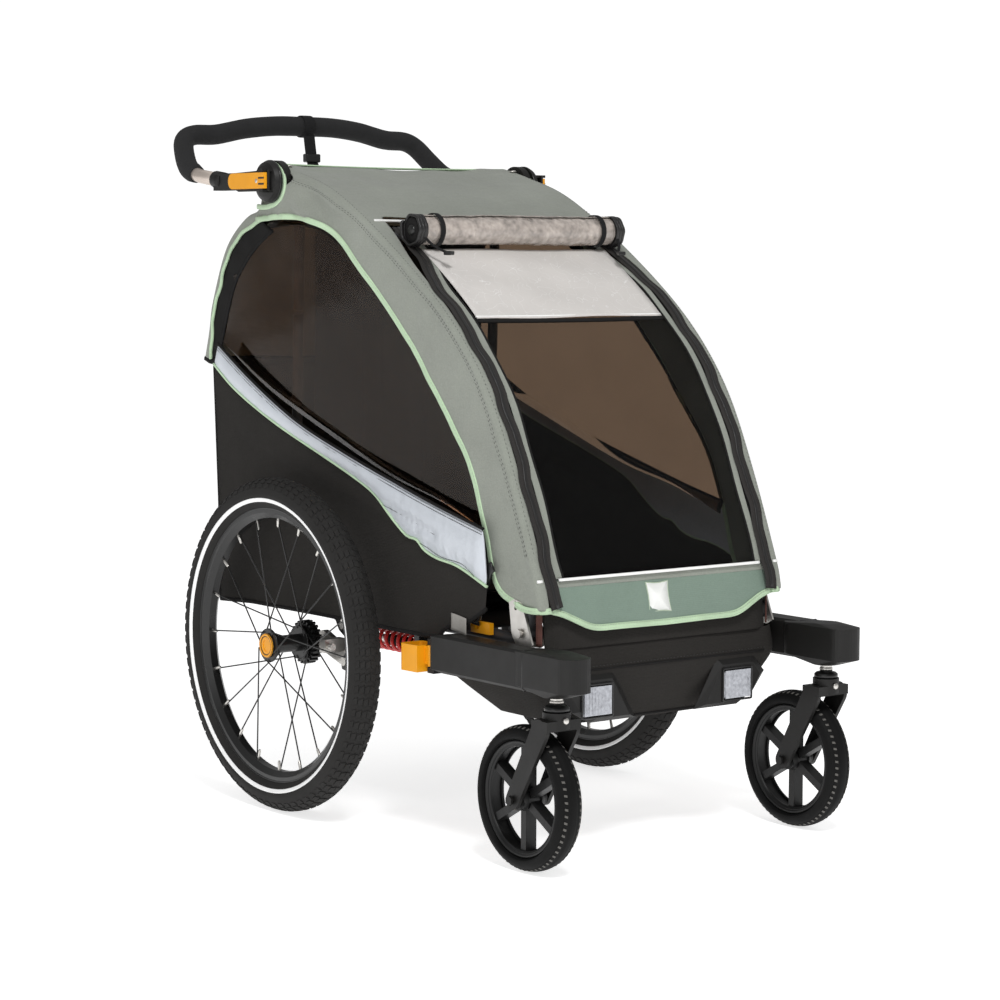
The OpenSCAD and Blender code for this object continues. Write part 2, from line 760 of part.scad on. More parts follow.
module handle_lever(s) {
    color("orange") on_side(s) difference() {
        across(lever_x0, lever_x1) union() {
            translate([lever_pin_y - 6, hub_z - 11]) square([90, 24]);
            translate([lever_pin_y + 84, hub_z + 1]) circle(12);
        }
        translate([lever_pin_x, lever_pin_y, hub_z - 20])
            cylinder(h = 40, r = lever_pin_r + run_gap, $fn = 24);
    }
}

base_frame();
frame_plates();
frame_bolts();
floor_shell();
side_wall(1);  // side_wall_left
side_wall(-1);  // side_wall_right
side_band(1);  // side_band_left
side_band(-1);  // side_band_right
rear_panel();
seat_pan();
seat_back();
harness();
reflector_housings();
reflector_lenses();
suspension_brackets();
strap_anchors();
stroller_arm(1);  // stroller_arm_left
stroller_arm(-1);  // stroller_arm_right
spring(1);  // spring_left
spring(-1);  // spring_right
roll_cage();
canopy();
window_roll();
front_screen();
sunshade();
hub_plates();
rear_cover();
side_window(1);  // side_window_left
side_window(-1);  // side_window_right
front_apron();
rear_uprights();
handle_tube();
handle_grip();
handle_sockets();
grip_strap();
handle_lever(1);  // handle_lever_left
handle_lever(-1);  // handle_lever_right
swing_arm(1);  // swing_arm_left
swing_arm(-1);  // swing_arm_right
brake_pawl(1);  // brake_pawl_left
brake_pawl(-1);  // brake_pawl_right
axle_button(1);  // axle_button_left
axle_button(-1);  // axle_button_right
brake_pedal();
tyre(1);  // tyre_left
tyre(-1);  // tyre_right
rim(1);  // rim_left
rim(-1);  // rim_right
spokes(1);  // spokes_left
spokes(-1);  // spokes_right
hub(1);  // hub_left
hub(-1);  // hub_right
fork(1);  // fork_left
fork(-1);  // fork_right
caster_tyre(1);  // caster_tyre_left
caster_tyre(-1);  // caster_tyre_right
caster_rim(1);  // caster_rim_left
caster_rim(-1);  // caster_rim_right
arm_lever(1);  // arm_lever_left
arm_lever(-1);  // arm_lever_right
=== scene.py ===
import math

import bmesh
import bpy
from mathutils import Matrix, Vector, noise


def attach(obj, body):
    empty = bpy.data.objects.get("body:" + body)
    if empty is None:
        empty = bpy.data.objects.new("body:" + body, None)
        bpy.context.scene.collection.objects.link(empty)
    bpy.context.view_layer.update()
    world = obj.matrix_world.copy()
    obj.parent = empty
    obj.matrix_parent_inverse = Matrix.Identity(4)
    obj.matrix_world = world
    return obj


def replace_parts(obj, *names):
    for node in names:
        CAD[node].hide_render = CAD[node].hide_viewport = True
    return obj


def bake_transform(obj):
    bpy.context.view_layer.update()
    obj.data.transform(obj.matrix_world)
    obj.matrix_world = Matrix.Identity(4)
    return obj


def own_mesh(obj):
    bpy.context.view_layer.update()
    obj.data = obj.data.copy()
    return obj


# Looks of the child bicycle trailer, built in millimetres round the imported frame.
# The front faces -Y and the right side is -X.
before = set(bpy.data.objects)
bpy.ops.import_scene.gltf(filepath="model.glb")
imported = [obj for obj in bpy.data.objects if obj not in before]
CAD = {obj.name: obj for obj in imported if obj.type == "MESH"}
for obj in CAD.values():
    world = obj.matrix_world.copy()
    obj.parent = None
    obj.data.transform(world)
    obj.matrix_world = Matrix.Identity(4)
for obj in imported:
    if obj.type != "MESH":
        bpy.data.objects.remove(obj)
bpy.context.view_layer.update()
MM = 0.001
SIDES = {"left": 1, "right": -1}
scene = bpy.context.scene


# ---- numbers and lines ----
def srgb(r, g, b):
    """An on-screen colour, 0 to 255, in linear light."""
    shares = [c / 255 for c in (r, g, b)]
    return tuple(c / 12.92 if c <= 0.04045 else ((c + 0.055) / 1.055) ** 2.4 for c in shares) + (1.0,)


def smooth(points, n=6):
    """Catmull-Rom line through the points, n steps to each span."""
    points = [Vector(p) for p in points]
    out = []
    for i in range(len(points) - 1):
        a, b = points[max(i - 1, 0)], points[i]
        c, d = points[i + 1], points[min(i + 2, len(points) - 1)]
        for k in range(n):
            t = k / n
            out.append(0.5 * (2 * b + (c - a) * t + (2 * a - 5 * b + 4 * c - d) * t * t
                              + (3 * b - a - 3 * c + d) * t ** 3))
    return out + [points[-1]]


def resample(points, count):
    """The same line as `count` points an equal way apart."""
    points = [Vector(p) for p in points]
    lengths = [0.0]
    for a, b in zip(points, points[1:]):
        lengths.append(lengths[-1] + (b - a).length)
    out, i = [], 0
    for k in range(count):
        want = lengths[-1] * k / (count - 1)
        while i < len(points) - 2 and lengths[i + 1] < want:
            i += 1
        span = lengths[i + 1] - lengths[i]
        out.append(points[i].lerp(points[i + 1], (want - lengths[i]) / span if span else 0))
    return out


def offset_line(points, d):
    """A side-view line moved sideways: outwards, to the front and top, for a positive d."""
    out = []
    for i, p in enumerate(points):
        t = (points[min(i + 1, len(points) - 1)] - points[max(i - 1, 0)]).normalized()
        out.append(p + d * Vector((-t[1], t[0])))
    return out


def value_at(points, y):
    """z of a side-view line at y."""
    points = sorted((p[0], p[1]) for p in points)
    for (y0, z0), (y1, z1) in zip(points, points[1:]):
        if y <= y1:
            return z0 + (z1 - z0) * (max(y, y0) - y0) / max(y1 - y0, 1e-6)
    return points[-1][1]


def soft_step(x, a, b):
    t = min(max((x - a) / (b - a), 0.0), 1.0)
    return t * t * (3 - 2 * t)


def rough_field(x, y, z, size, seed=0.0):
    return noise.noise(Vector((x / size + seed, y / size - seed, z / size + 0.7 * seed)))


def steps(lo, hi, n):
    """n + 1 numbers from lo to hi, an equal way apart."""
    return [lo + (hi - lo) * k / n for k in range(n + 1)]


def path_length(points):
    return sum((b - a).length for a, b in zip(points, points[1:]))


def normals_of(line):
    """The outward direction at each point of a side-view line."""
    return [Vector((0, *(b - a))) for a, b in zip(line, offset_line(line, 1.0))]


def away_from(path, y, z):
    """The direction at each point away from the line across the trailer through (y, z)."""
    return [Vector((0, p.y - y, p.z - z)).normalized() for p in path]


def ring_path(x, y, z, r, degrees):
    """Points on a circle that faces sideways."""
    return [Vector((x, y + r * math.cos(a), z + r * math.sin(a))) for a in map(math.radians, degrees)]


def box_outline(a0, a1, b0, b1):
    return [(a0, b0), (a1, b0), (a1, b1), (a0, b1)]

# ---- meshes ----
def make(name, verts, faces, mat, body=None, flat=False):
    mesh = bpy.data.meshes.new(name)
    mesh.from_pydata([Vector(v) * MM for v in verts], [], faces)
    bm = bmesh.new()
    bm.from_mesh(mesh)
    bmesh.ops.remove_doubles(bm, verts=bm.verts, dist=1e-6)
    bmesh.ops.recalc_face_normals(bm, faces=bm.faces)
    bm.to_mesh(mesh)
    bm.free()
    mesh.materials.append(mat)
    if not flat:
        mesh.polygons.foreach_set("use_smooth", [True] * len(mesh.polygons))
    obj = bpy.data.objects.new(name, mesh)
    scene.collection.objects.link(obj)
    if body:
        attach(obj, body)
    return obj


def grid_faces(rows, columns, first=0, closed=False):
    faces = []
    for i in range(rows - 1):
        for j in range(columns if closed else columns - 1):
            a, b = first + i * columns + j, first + i * columns + (j + 1) % columns
            faces.append((a, b, b + columns, a + columns))
    return faces


def rod_faces(rows, ring):
    """Faces of a bar: `rows` closed rings of `ring` points, with a cap at each end."""
    last = (rows - 1) * ring
    caps = [tuple(range(ring)), tuple(range(last + ring - 1, last - 1, -1))]
    return grid_faces(rows, ring, closed=True) + caps


def grid(name, rows, mat, body=None):
    return make(name, [p for r in rows for p in r], grid_faces(len(rows), len(rows[0])), mat, body)


def subdivide(obj, levels=1):
    m = obj.modifiers.new("Subdivision", "SUBSURF")
    m.levels = m.render_levels = levels
    return obj


def thicken(obj, t, offset=0.0, levels=0):
    m = obj.modifiers.new("Thickness", "SOLIDIFY")
    m.thickness, m.offset = t * MM, offset
    return subdivide(obj, levels) if levels else obj


def bevel(obj, width, segments=2, angle=30):
    m = obj.modifiers.new("Bevel", "BEVEL")
    m.width, m.segments = width * MM, segments
    m.limit_method, m.angle_limit = "ANGLE", math.radians(angle)
    return obj


def frames_along(path, normal):
    """(point, tangent, width direction, normal) at each point; normal is one vector or a list of them."""
    path = [Vector(p) for p in path]
    out = []
    for i, p in enumerate(path):
        t = (path[min(i + 1, len(path) - 1)] - path[max(i - 1, 0)]).normalized()
        n = Vector(normal[i] if isinstance(normal, list) else normal)
        n = (n - t * n.dot(t)).normalized()
        out.append((p, t, t.cross(n), n))
    return out


def strap(name, path, normal, w, t, mat, body=None, sides=12, power=0.6):
    """A flat strap, binding or cord: a rounded section w wide and t thick along a path."""
    verts = []
    path = list(path)
    for p, _, across, n in frames_along(path, normal):
        for k in range(sides):
            a = 2 * math.pi * k / sides
            c, s = math.cos(a), math.sin(a)
            verts.append(p + across * (w / 2) * math.copysign(abs(c) ** power, c)
                         + n * (t / 2) * math.copysign(abs(s) ** power, s))
    return make(name, verts, rod_faces(len(path), sides), mat, body)


def tube(name, path, r, mat, body=None, sides=16, up=(0, 0, 1)):
    return strap(name, path, up, 2 * r, 2 * r, mat, body, sides, 1.0)


def stitches(name, path, normal, mat, body, pitch=4.5, length=3.0, r=0.45):
    """A row of raised stitches along a path."""
    count = max(int(path_length(path) / pitch), 2)
    if isinstance(normal, list):
        n_at = [normal[min(int(k * len(normal) / count), len(normal) - 1)] for k in range(count)]
    else:
        n_at = normal
    verts, faces = [], []
    for p, t, across, n in frames_along(resample(path, count), n_at):
        first = len(verts)
        for end in (-length / 2, length / 2):
            verts += [p + t * end + across * r, p + t * end * 0.8 + n * r, p + t * end - across * r]
        faces += [(first, first + 1, first + 4, first + 3), (first + 1, first + 2, first + 5, first + 4),
                  (first, first + 2, first + 1), (first + 3, first + 4, first + 5),
                  (first, first + 3, first + 5, first + 2)]
    return make(name, verts, faces, mat, body)


def lathe(name, profile, centre, mat, body=None, n=96, closed=True):
    """Turns a profile of (radius, x) about the line across the trailer through centre."""
    cx, cy, cz = centre
    verts = [(cx + x, cy + r * math.cos(2 * math.pi * k / n), cz + r * math.sin(2 * math.pi * k / n))
             for k in range(n) for r, x in profile]
    m = len(profile)
    faces = []
    for k in range(n):
        for j in range(m if closed else m - 1):
            a, b = k * m + j, k * m + (j + 1) % m
            faces.append((a, b, (b + m) % (n * m), (a + m) % (n * m)))
    return make(name, verts, faces, mat, body)


def stand(obj, place, degrees, axis):
    """Turns a lathed piece away from the X direction about one axis, and puts it at place."""
    turned = Matrix.Rotation(math.radians(degrees), 4, axis)
    obj.matrix_world = Matrix.Translation(Vector(place) * MM) @ turned
    return obj


def slab(name, outline, lo, hi, axis, mat, body=None, round_off=1.0):
    """An outline pushed along axis 0, 1 or 2, with its edges rounded off."""
    def place(p, d):
        return {0: (d, p[0], p[1]), 1: (p[0], d, p[1]), 2: (p[0], p[1], d)}[axis]
    n = len(outline)
    verts = [place(p, lo) for p in outline] + [place(p, hi) for p in outline]
    faces = [tuple(range(n)), tuple(range(2 * n - 1, n - 1, -1))]
    faces += [(i, (i + 1) % n, n + (i + 1) % n, n + i) for i in range(n)]
    obj = make(name, verts, faces, mat, body, flat=True)
    return bevel(obj, round_off, 2) if round_off else obj


def inflate(obj, pinned, pressure=4.0, cap=8.0, frames=16):
    """Cloth simulation under pressure: the piece swells between its pinned seams, at most `cap` mm."""
    rest = [v.co.copy() for v in obj.data.vertices]
    group = obj.vertex_groups.new(name="seams")
    group.add(pinned, 1.0, "REPLACE")
    cloth = obj.modifiers.new("Cloth", "CLOTH")
    s = cloth.settings
    s.quality, s.mass = 5, 0.2
    s.tension_stiffness = s.compression_stiffness = 12
    s.bending_stiffness = 0.4
    s.use_pressure, s.uniform_pressure_force = True, pressure
    s.vertex_group_mass = "seams"
    s.effector_weights.gravity = 0
    for f in range(1, frames + 1):
        scene.frame_set(f)
    done = obj.evaluated_get(bpy.context.evaluated_depsgraph_get())
    moved = [v.co.copy() for v in done.data.vertices]
    obj.modifiers.remove(cloth)
    obj.vertex_groups.clear()
    for v, a, b in zip(obj.data.vertices, rest, moved):
        d = b - a
        if d.length > cap * MM:
            d *= cap * MM / d.length
        v.co = a + d
    scene.frame_set(1)
    return obj


# ---- materials ----
def add_node(tree, kind, inputs=None, **settings):
    n = tree.nodes.new(kind)
    for key, value in settings.items():
        setattr(n, key, value)
    for key, value in (inputs or {}).items():
        if isinstance(value, bpy.types.NodeSocket):
            tree.links.new(value, n.inputs[key])
        else:
            n.inputs[key].default_value = value
    return n


def material(name, colour, rough, vary=0.15, vary_size=70, fleck=0.0, fleck_size=1.6, rough_vary=0.08,
             weave=0.0, weave_depth=0.25, grain=0.0, grain_depth=0.1, crumple=0.0, crumple_depth=1.0,
             line=None, line_size=30, **sockets):
    """A Principled material. Sizes and depths are in millimetres; textures lie in object space."""
    mat = bpy.data.materials.new(name)
    mat.use_nodes = True
    tree = mat.node_tree
    bsdf = tree.nodes["Principled BSDF"]
    place = add_node(tree, "ShaderNodeTexCoord").outputs["Object"]

    def cloud(size, detail=3.0):
        return add_node(tree, "ShaderNodeTexNoise", {"Vector": place, "Scale": 1000 / size,
                                                      "Detail": detail}).outputs["Fac"]

    def maths(kind, a, b):
        return add_node(tree, "ShaderNodeMath", {0: a, 1: b}, operation=kind).outputs[0]

    tone = cloud(vary_size)
    if fleck:
        flecks = maths("MULTIPLY", cloud(fleck_size, 1.0), fleck)
        tone = maths("ADD", maths("MULTIPLY", tone, 1 - fleck), flecks)
    ramp = add_node(tree, "ShaderNodeValToRGB", {"Fac": tone})
    ramp.color_ramp.elements[0].position, ramp.color_ramp.elements[1].position = 0.3, 0.7
    for element, share in zip(ramp.color_ramp.elements, (1 - vary, 1 + vary)):
        element.color = tuple(min(c * share, 1.0) for c in colour[:3]) + (1.0,)
    shade = ramp.outputs["Color"]
    if line:
        drawn = maths("ABSOLUTE", maths("SUBTRACT", cloud(line_size, 0.5), 0.5), 0.0)
        thin = add_node(tree, "ShaderNodeMapRange", {"Value": drawn, "From Min": 0.003, "From Max": 0.007,
                                                      "To Min": 1.0, "To Max": 0.0}).outputs[0]
        mix = add_node(tree, "ShaderNodeMix", data_type="RGBA")
        tree.links.new(thin, mix.inputs["Factor"])
        tree.links.new(shade, mix.inputs[6])
        mix.inputs[7].default_value = line
        shade = mix.outputs[2]
    tree.links.new(shade, bsdf.inputs["Base Color"])
    spread = {"Value": cloud(vary_size * 0.4), "To Min": max(rough - rough_vary, 0.02),
              "To Max": min(rough + rough_vary, 1.0)}
    r = add_node(tree, "ShaderNodeMapRange", spread).outputs[0]
    tree.links.new(r, bsdf.inputs["Roughness"])
    height = None
    parts = []
    if weave:
        for axis in "XYZ":
            parts.append((add_node(tree, "ShaderNodeTexWave", {"Vector": place, "Scale": 314 / weave},
                                   bands_direction=axis).outputs["Fac"], weave_depth / 2))
    if grain:
        parts.append((cloud(grain, 2.0), grain_depth))
    if crumple:
        parts.append((cloud(crumple, 2.0), crumple_depth))
    for value, depth in parts:
        term = maths("MULTIPLY", value, depth)
        height = term if height is None else maths("ADD", height, term)
    if height is not None:
        b = add_node(tree, "ShaderNodeBump", {"Height": height, "Distance": MM, "Strength": 1.0})
        tree.links.new(b.outputs["Normal"], bsdf.inputs["Normal"])
    for key, value in sockets.items():
        bsdf.inputs[key.replace("_", " ")].default_value = value
    return mat


SAGE = material("sage_canvas", srgb(137, 141, 132), 0.82, 0.12, 90, 0.45, 2.2, weave=2.6, weave_depth=0.22,
                crumple=40, crumple_depth=5.0, Sheen_Weight=0.25)
SAGE_DEEP = material("sage_green_canvas", srgb(118, 137, 124), 0.82, 0.09, 70, 0.45, 2.2, weave=2.6,
                     weave_depth=0.22, crumple=45, crumple_depth=0.6, Sheen_Weight=0.25)
MINT = material("mint_binding", srgb(186, 212, 177), 0.7, 0.10, 25, 0.3, 1.4, weave=1.5, weave_depth=0.18,
                Sheen_Weight=0.2)
CHARCOAL = material("charcoal_canvas", srgb(42, 40, 38), 0.9, 0.16, 120, 0.6, 1.8, weave=2.2,
                    weave_depth=0.25, crumple=48, crumple_depth=1.4, Specular_IOR_Level=0.2)
SILVER_CLOTH = material("silver_reflective_cloth", srgb(208, 213, 220), 0.42, 0.05, 60, 0.2, 1.2, weave=1.1,
                        weave_depth=0.06, crumple=9, crumple_depth=0.7, Metallic=0.25)
BLACK_CLOTH = material("black_cloth", srgb(26, 25, 25), 0.85, 0.2, 50, 0.5, 1.6, weave=1.9, weave_depth=0.25,
                       Specular_IOR_Level=0.2)
WEBBING = material("black_webbing", srgb(22, 22, 23), 0.75, 0.2, 20, 0.4, 1.2, weave=2.4, weave_depth=0.4,
                   Specular_IOR_Level=0.25)
RED_WEBBING = material("dark_red_webbing", srgb(88, 52, 44), 0.75, 0.2, 20, 0.4, 1.2, weave=2.4,
                       weave_depth=0.4)
ZIP_TAPE = material("zip_tape", srgb(34, 31, 29), 0.75, 0.15, 30, 0.4, 1.2, weave=1.4, weave_depth=0.2)
ZIP_TEETH = material("zip_teeth", srgb(28, 27, 27), 0.4, 0.15, 10, 0.2, 1.0, grain=1.5, grain_depth=0.1)
THREAD = material("pale_thread", srgb(176, 190, 168), 0.6, 0.08, 6, 0.3, 0.6, grain=0.7, grain_depth=0.05)
DARK_THREAD = material("dark_thread", srgb(40, 40, 40), 0.6, 0.1, 6, 0.3, 0.6, grain=0.7, grain_depth=0.05)
WHITE_PIPING = material("white_piping", srgb(246, 246, 244), 0.5, 0.05, 20, 0.2, 1.0, weave=1.2,
                        weave_depth=0.08)
NET = material("dark_mesh", srgb(14, 14, 14), 0.9, 0.2, 40, 0.5, 1.5, weave=1.6, weave_depth=0.3, Alpha=0.52,
               Specular_IOR_Level=0.1)
SHADE = material("shade_cloth", srgb(216, 212, 208), 0.65, 0.05, 60, 0.3, 1.4, weave=1.5, weave_depth=0.12,
                 crumple=50, crumple_depth=0.9, line=srgb(236, 234, 232), line_size=17, Alpha=0.93)
SMOKED = material("smoked_vinyl", srgb(178, 147, 120), 0.09, 0.08, 140, crumple=130, crumple_depth=0.8,
                  rough_vary=0.04, Transmission_Weight=1.0, IOR=1.22)
# The clear vinyl's strong tone variation and flecks are painted glints and dark reflections of the shiny
# rolled film.
CLEAR = material("clear_vinyl", srgb(192, 182, 174), 0.1, 0.42, 26, 0.5, 9, crumple=11, crumple_depth=5.0,
                 rough_vary=0.06, Alpha=0.7, Coat_Weight=0.8, IOR=1.5)
PLASTIC = material("black_plastic", srgb(20, 19, 18), 0.5, 0.12, 50, 0.3, 1.0, grain=0.9, grain_depth=0.05,
                   Specular_IOR_Level=0.35)
GLOSS_BLACK = material("gloss_black", srgb(20, 20, 20), 0.3, 0.1, 50, grain=1.2, grain_depth=0.02)
ORANGE = material("orange_plastic", srgb(236, 160, 10), 0.42, 0.06, 40, grain=0.8, grain_depth=0.03)
SILVER = material("brushed_steel", srgb(212, 209, 204), 0.34, 0.08, 30, rough_vary=0.1, grain=1.2,
                  grain_depth=0.02, Metallic=0.9)
TUBE_SILVER = material("anodised_tube", srgb(204, 192, 182), 0.36, 0.06, 40, grain=0.8, grain_depth=0.015,
                       Metallic=0.7)
FRAME_GREY = material("powder_coated_tube", srgb(58, 58, 60), 0.45, 0.1, 60, grain=0.7, grain_depth=0.05,
                      Metallic=0.3)
FOAM = material("grip_foam", srgb(30, 30, 31), 0.95, 0.15, 40, 0.5, 1.4, grain=1.5, grain_depth=0.25)
TYRE = material("tyre_rubber", srgb(34, 33, 32), 0.8, 0.14, 60, 0.3, 1.5, grain=1.3, grain_depth=0.08,
                Specular_IOR_Level=0.3)
STRIPE = material("reflective_stripe", srgb(250, 250, 250), 0.4, 0.04, 30, 0.2, 1.0, grain=1.0,
                  grain_depth=0.04)
CASTER_RUBBER = material("caster_rubber", srgb(8, 8, 8), 0.7, 0.14, 40, 0.3, 1.2, grain=1.0,
                         grain_depth=0.06, Specular_IOR_Level=0.2)
SPRING_RED = material("spring_red", srgb(206, 44, 42), 0.3, 0.08, 20, grain=0.9, grain_depth=0.02,
                      Coat_Weight=0.5)
LENS = material("prismatic_lens", srgb(168, 170, 176), 0.14, 0.22, 5, grain=3.4, grain_depth=0.16,
                rough_vary=0.06, Metallic=0.55, Alpha=0.95)
TAG = material("woven_tag", srgb(244, 245, 242), 0.6, 0.04, 20, 0.3, 1.0, weave=1.2, weave_depth=0.15)
RIM_PLASTIC = material("caster_rim_plastic", srgb(24, 24, 24), 0.45, 0.1, 40, 0.2, 1.0, grain=1.2,
                       grain_depth=0.05, Specular_IOR_Level=0.35)
RIB = material("caster_tread_lines", srgb(96, 94, 90), 0.8, 0.1, 20, 0.2, 1.0, grain=1.0, grain_depth=0.05)
LABEL = material("printed_label", srgb(150, 147, 142), 0.6, 0.12, 9, 0.5, 2.0, weave=1.3, weave_depth=0.1)


# ---- cover: front corner to the top of the roof, then down the back ----
HUB = Vector((241.0, 940.0))
HOOP = smooth([(-404, 350), (-400, 370), (-393, 392), (-341, 520), (-279, 640), (-189, 740), (-54, 837),
               (94, 920), (208, 955), (262, 968)])
ARCH = smooth([(-352, 355), (-322, 364), (-303, 380), (-293, 403), (-278, 454), (-240, 541), (-168, 628),
               (-70, 732), (31, 820), (110, 869), (170, 884), (229, 887), (290, 883)])
CUT_OUT = smooth([(209.5, 942), (214.5, 922), (233, 908), (262, 902), (292, 903)])
REAR = smooth([(262, 968), (275, 962), (293, 922), (304, 898), (345, 886), (402, 840), (443, 758),
               (455, 710), (470, 665)])
FLAP = smooth([(300, 882), (343, 868), (382, 843), (410, 806), (424, 772), (441, 742), (447, 700),
               (452, 664)])
LINING = smooth([(272, 866), (318, 842), (354, 814), (382, 784), (402, 745), (418, 705), (434, 664)])
OPENING_TOP_Y = 16.0
CORNER_END_Y = 207.5
CORNER_BAND = 12
SIDE_X = 221


def gap_half(z):
    """Half width of the front opening in the canvas."""
    return 207 - 22 * soft_step(z, 800, 884)


def folds(y, z, seed):
    """Depth of the soft folds that run out from the hub."""
    d = Vector((y, z)) - HUB
    r, a = d.length, math.atan2(d[1], d[0])
    near = soft_step(r, 25, 70) * (1 - soft_step(r, 150, 420))
    wander = rough_field(y, z, 0, 90, seed)
    ridge = (0.5 + 0.5 * math.sin(a * 11 + 2.6 * wander + seed)) ** 1.4
    slack = (0.5 + 0.5 * math.sin(r / 21 + 3 * wander)) * soft_step(r, 200, 330)
    return 12 * ridge * near + 4.5 * slack * rough_field(y, z, 0, 60, seed + 3) + 1.6 * wander


def side_point(y, z, s, seed):
    """A point of the canopy's side: it stands out round the hub, and its folds are at most 14 mm deep."""
    hub_d = (Vector((y, z)) - HUB).length
    puff = 13 * (1 - soft_step(hub_d, 36, 105))
    return Vector((s * min(SIDE_X + puff + max(folds(y, z, seed), -1.5), SIDE_X + 14), y, z))


def roof_point(x, y, z, normal, edge=216.0):
    """A point of the roof or front: it sags a little and has folds from both hubs."""
    t = max(0.0, 1 - (abs(x) / edge) ** 2)
    depth = -5.0 * t * soft_step(y, -40, 60)
    for s in (1, -1):
        d = Vector((x - s * 222, y - 241))
        r, a = d.length, math.atan2(d[1], s * d[0])
        depth += 6.4 * math.sin(a * 9 + 1.7 * s + 1.5 * rough_field(x, y, 0, 110, s)) * math.exp(-r / 190) * t
    depth += 2.4 * rough_field(x, y, z, 70, 5) * min(1.0, 4 * t)
    return Vector((x, y + normal[0] * depth, z + normal[1] * depth))


def build_canopy():
    """One sheet: both sides, the two rounded corners, and the roof between them."""
    shared, extra, side_cols, mid = 66, 14, 9, 26
    corner = resample([p for p in HOOP if p[0] <= CORNER_END_Y], shared)
    tail = resample([p for p in HOOP if p[0] >= CORNER_END_Y], 8)[1:]
    arch = resample(ARCH, shared + extra)
    cut = resample(CUT_OUT, extra + 1)[1:]
    roof = corner + tail
    outward = [q - p for p, q in zip(roof, offset_line(roof, 1.0))]
    verts, faces = [], []

    def add(p):
        verts.append(p)
        return len(verts) - 1

    def skin(rows):
        for a, b in zip(rows, rows[1:]):
            faces.extend((a[j], b[j], b[j + 1], a[j + 1]) for j in range(len(a) - 1))

    skins = {}
    for s in (-1, 1):
        rows = []
        for low, top in zip(arch, corner + cut):
            end = 1 - CORNER_BAND / (top - low).length if len(rows) < shared else 1.0
            rows.append([add(side_point(*(low + (top - low) * f), s, 2.0 * s))
                         for f in steps(0, end, side_cols - 1)])
        skin(rows)
        skins[s] = rows
    edges = {}
    for s in (-1, 1):
        rows = []
        for i, c in enumerate(roof):
            down = (arch[i] - c).normalized()
            if i < shared:
                first = skins[s][i][-1]
            else:
                drop = max(CORNER_BAND * (1 - (i - shared + 1) / 5), 5.5)
                first = add(Vector((s * 222.5, *(c + down * drop))))
            n = outward[i]
            rows.append([first, add(Vector((s * 222.4, *(c + down * 5)))),
                         add(Vector((s * 221, *(c + down * 1.4)))), add(Vector((s * 217.5, *(c + n * 0.6)))),
                         add(roof_point(s * 212, c[0], c[1], n)),
                         add(roof_point(s * gap_half(c[1]), c[0], c[1], n))])
        skin(rows)
        edges[s] = rows
    across_rows = []
    for i, c in enumerate(roof):
        if c[0] < OPENING_TOP_Y:
            continue
        half = gap_half(c[1])
        inner = [add(roof_point(x, c[0], c[1], outward[i])) for x in steps(-half, half, mid)[1:-1]]
        across_rows.append([edges[-1][i][-1], *inner, edges[1][i][-1]])
    skin(across_rows)
    obj = make("canopy_cover", verts, faces, SAGE, "cage")
    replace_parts(thicken(obj, 1.6, levels=1), "canopy")


def build_rear_cover():
    line = resample(REAR, 40)
    outward = [q - p for p, q in zip(line, offset_line(line, 1.0))]
    flap = resample(FLAP, 30)
    xs = steps(-217.5, 217.5, 30)
    rows = []
    for i, c in enumerate(line):
        mid = [roof_point(x, c[0], c[1], outward[i]) for x in xs]
        inner = flap[i - 10] if i >= 10 else c + (flap[0] - c) * 0.12
        down = inner - c

        def side(s):
            pts = [Vector((s * (221.5 if f else 220.5), *(c + down * f))) for f in (0.06, 0.3, 0.65, 1.0)]
            for p in pts[1:]:
                p.x += s * 1.3 * rough_field(p.y, p.z, s, 35, 8)
            return pts
        rows.append(side(-1)[::-1] + mid + side(1))
    obj = grid("rear_cover_cloth", rows, SAGE, "cage")
    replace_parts(thicken(obj, 1.6, levels=1), "rear_cover")


def side_path(line, s, x=222.0, puffed=True):
    """A side-view line on the side of the cover; puffed follows the canopy's folds."""
    if not puffed:
        return [Vector((s * x, p[0], p[1])) for p in line]
    return [Vector((side_point(p[0], p[1], s, 2.0 * s).x + s * (x - SIDE_X), p[0], p[1])) for p in line]


def side_strap(name, line, s, x, w, t, mat, body="cage", puffed=False):
    return strap(name, side_path(line, s, x, puffed), (s, 0, 0), w, t, mat, body)


def side_stitches(name, line, s, x, mat, body, pitch, length, r, puffed=False):
    return stitches(name, side_path(line, s, x, puffed), (s, 0, 0), mat, body, pitch, length, r)


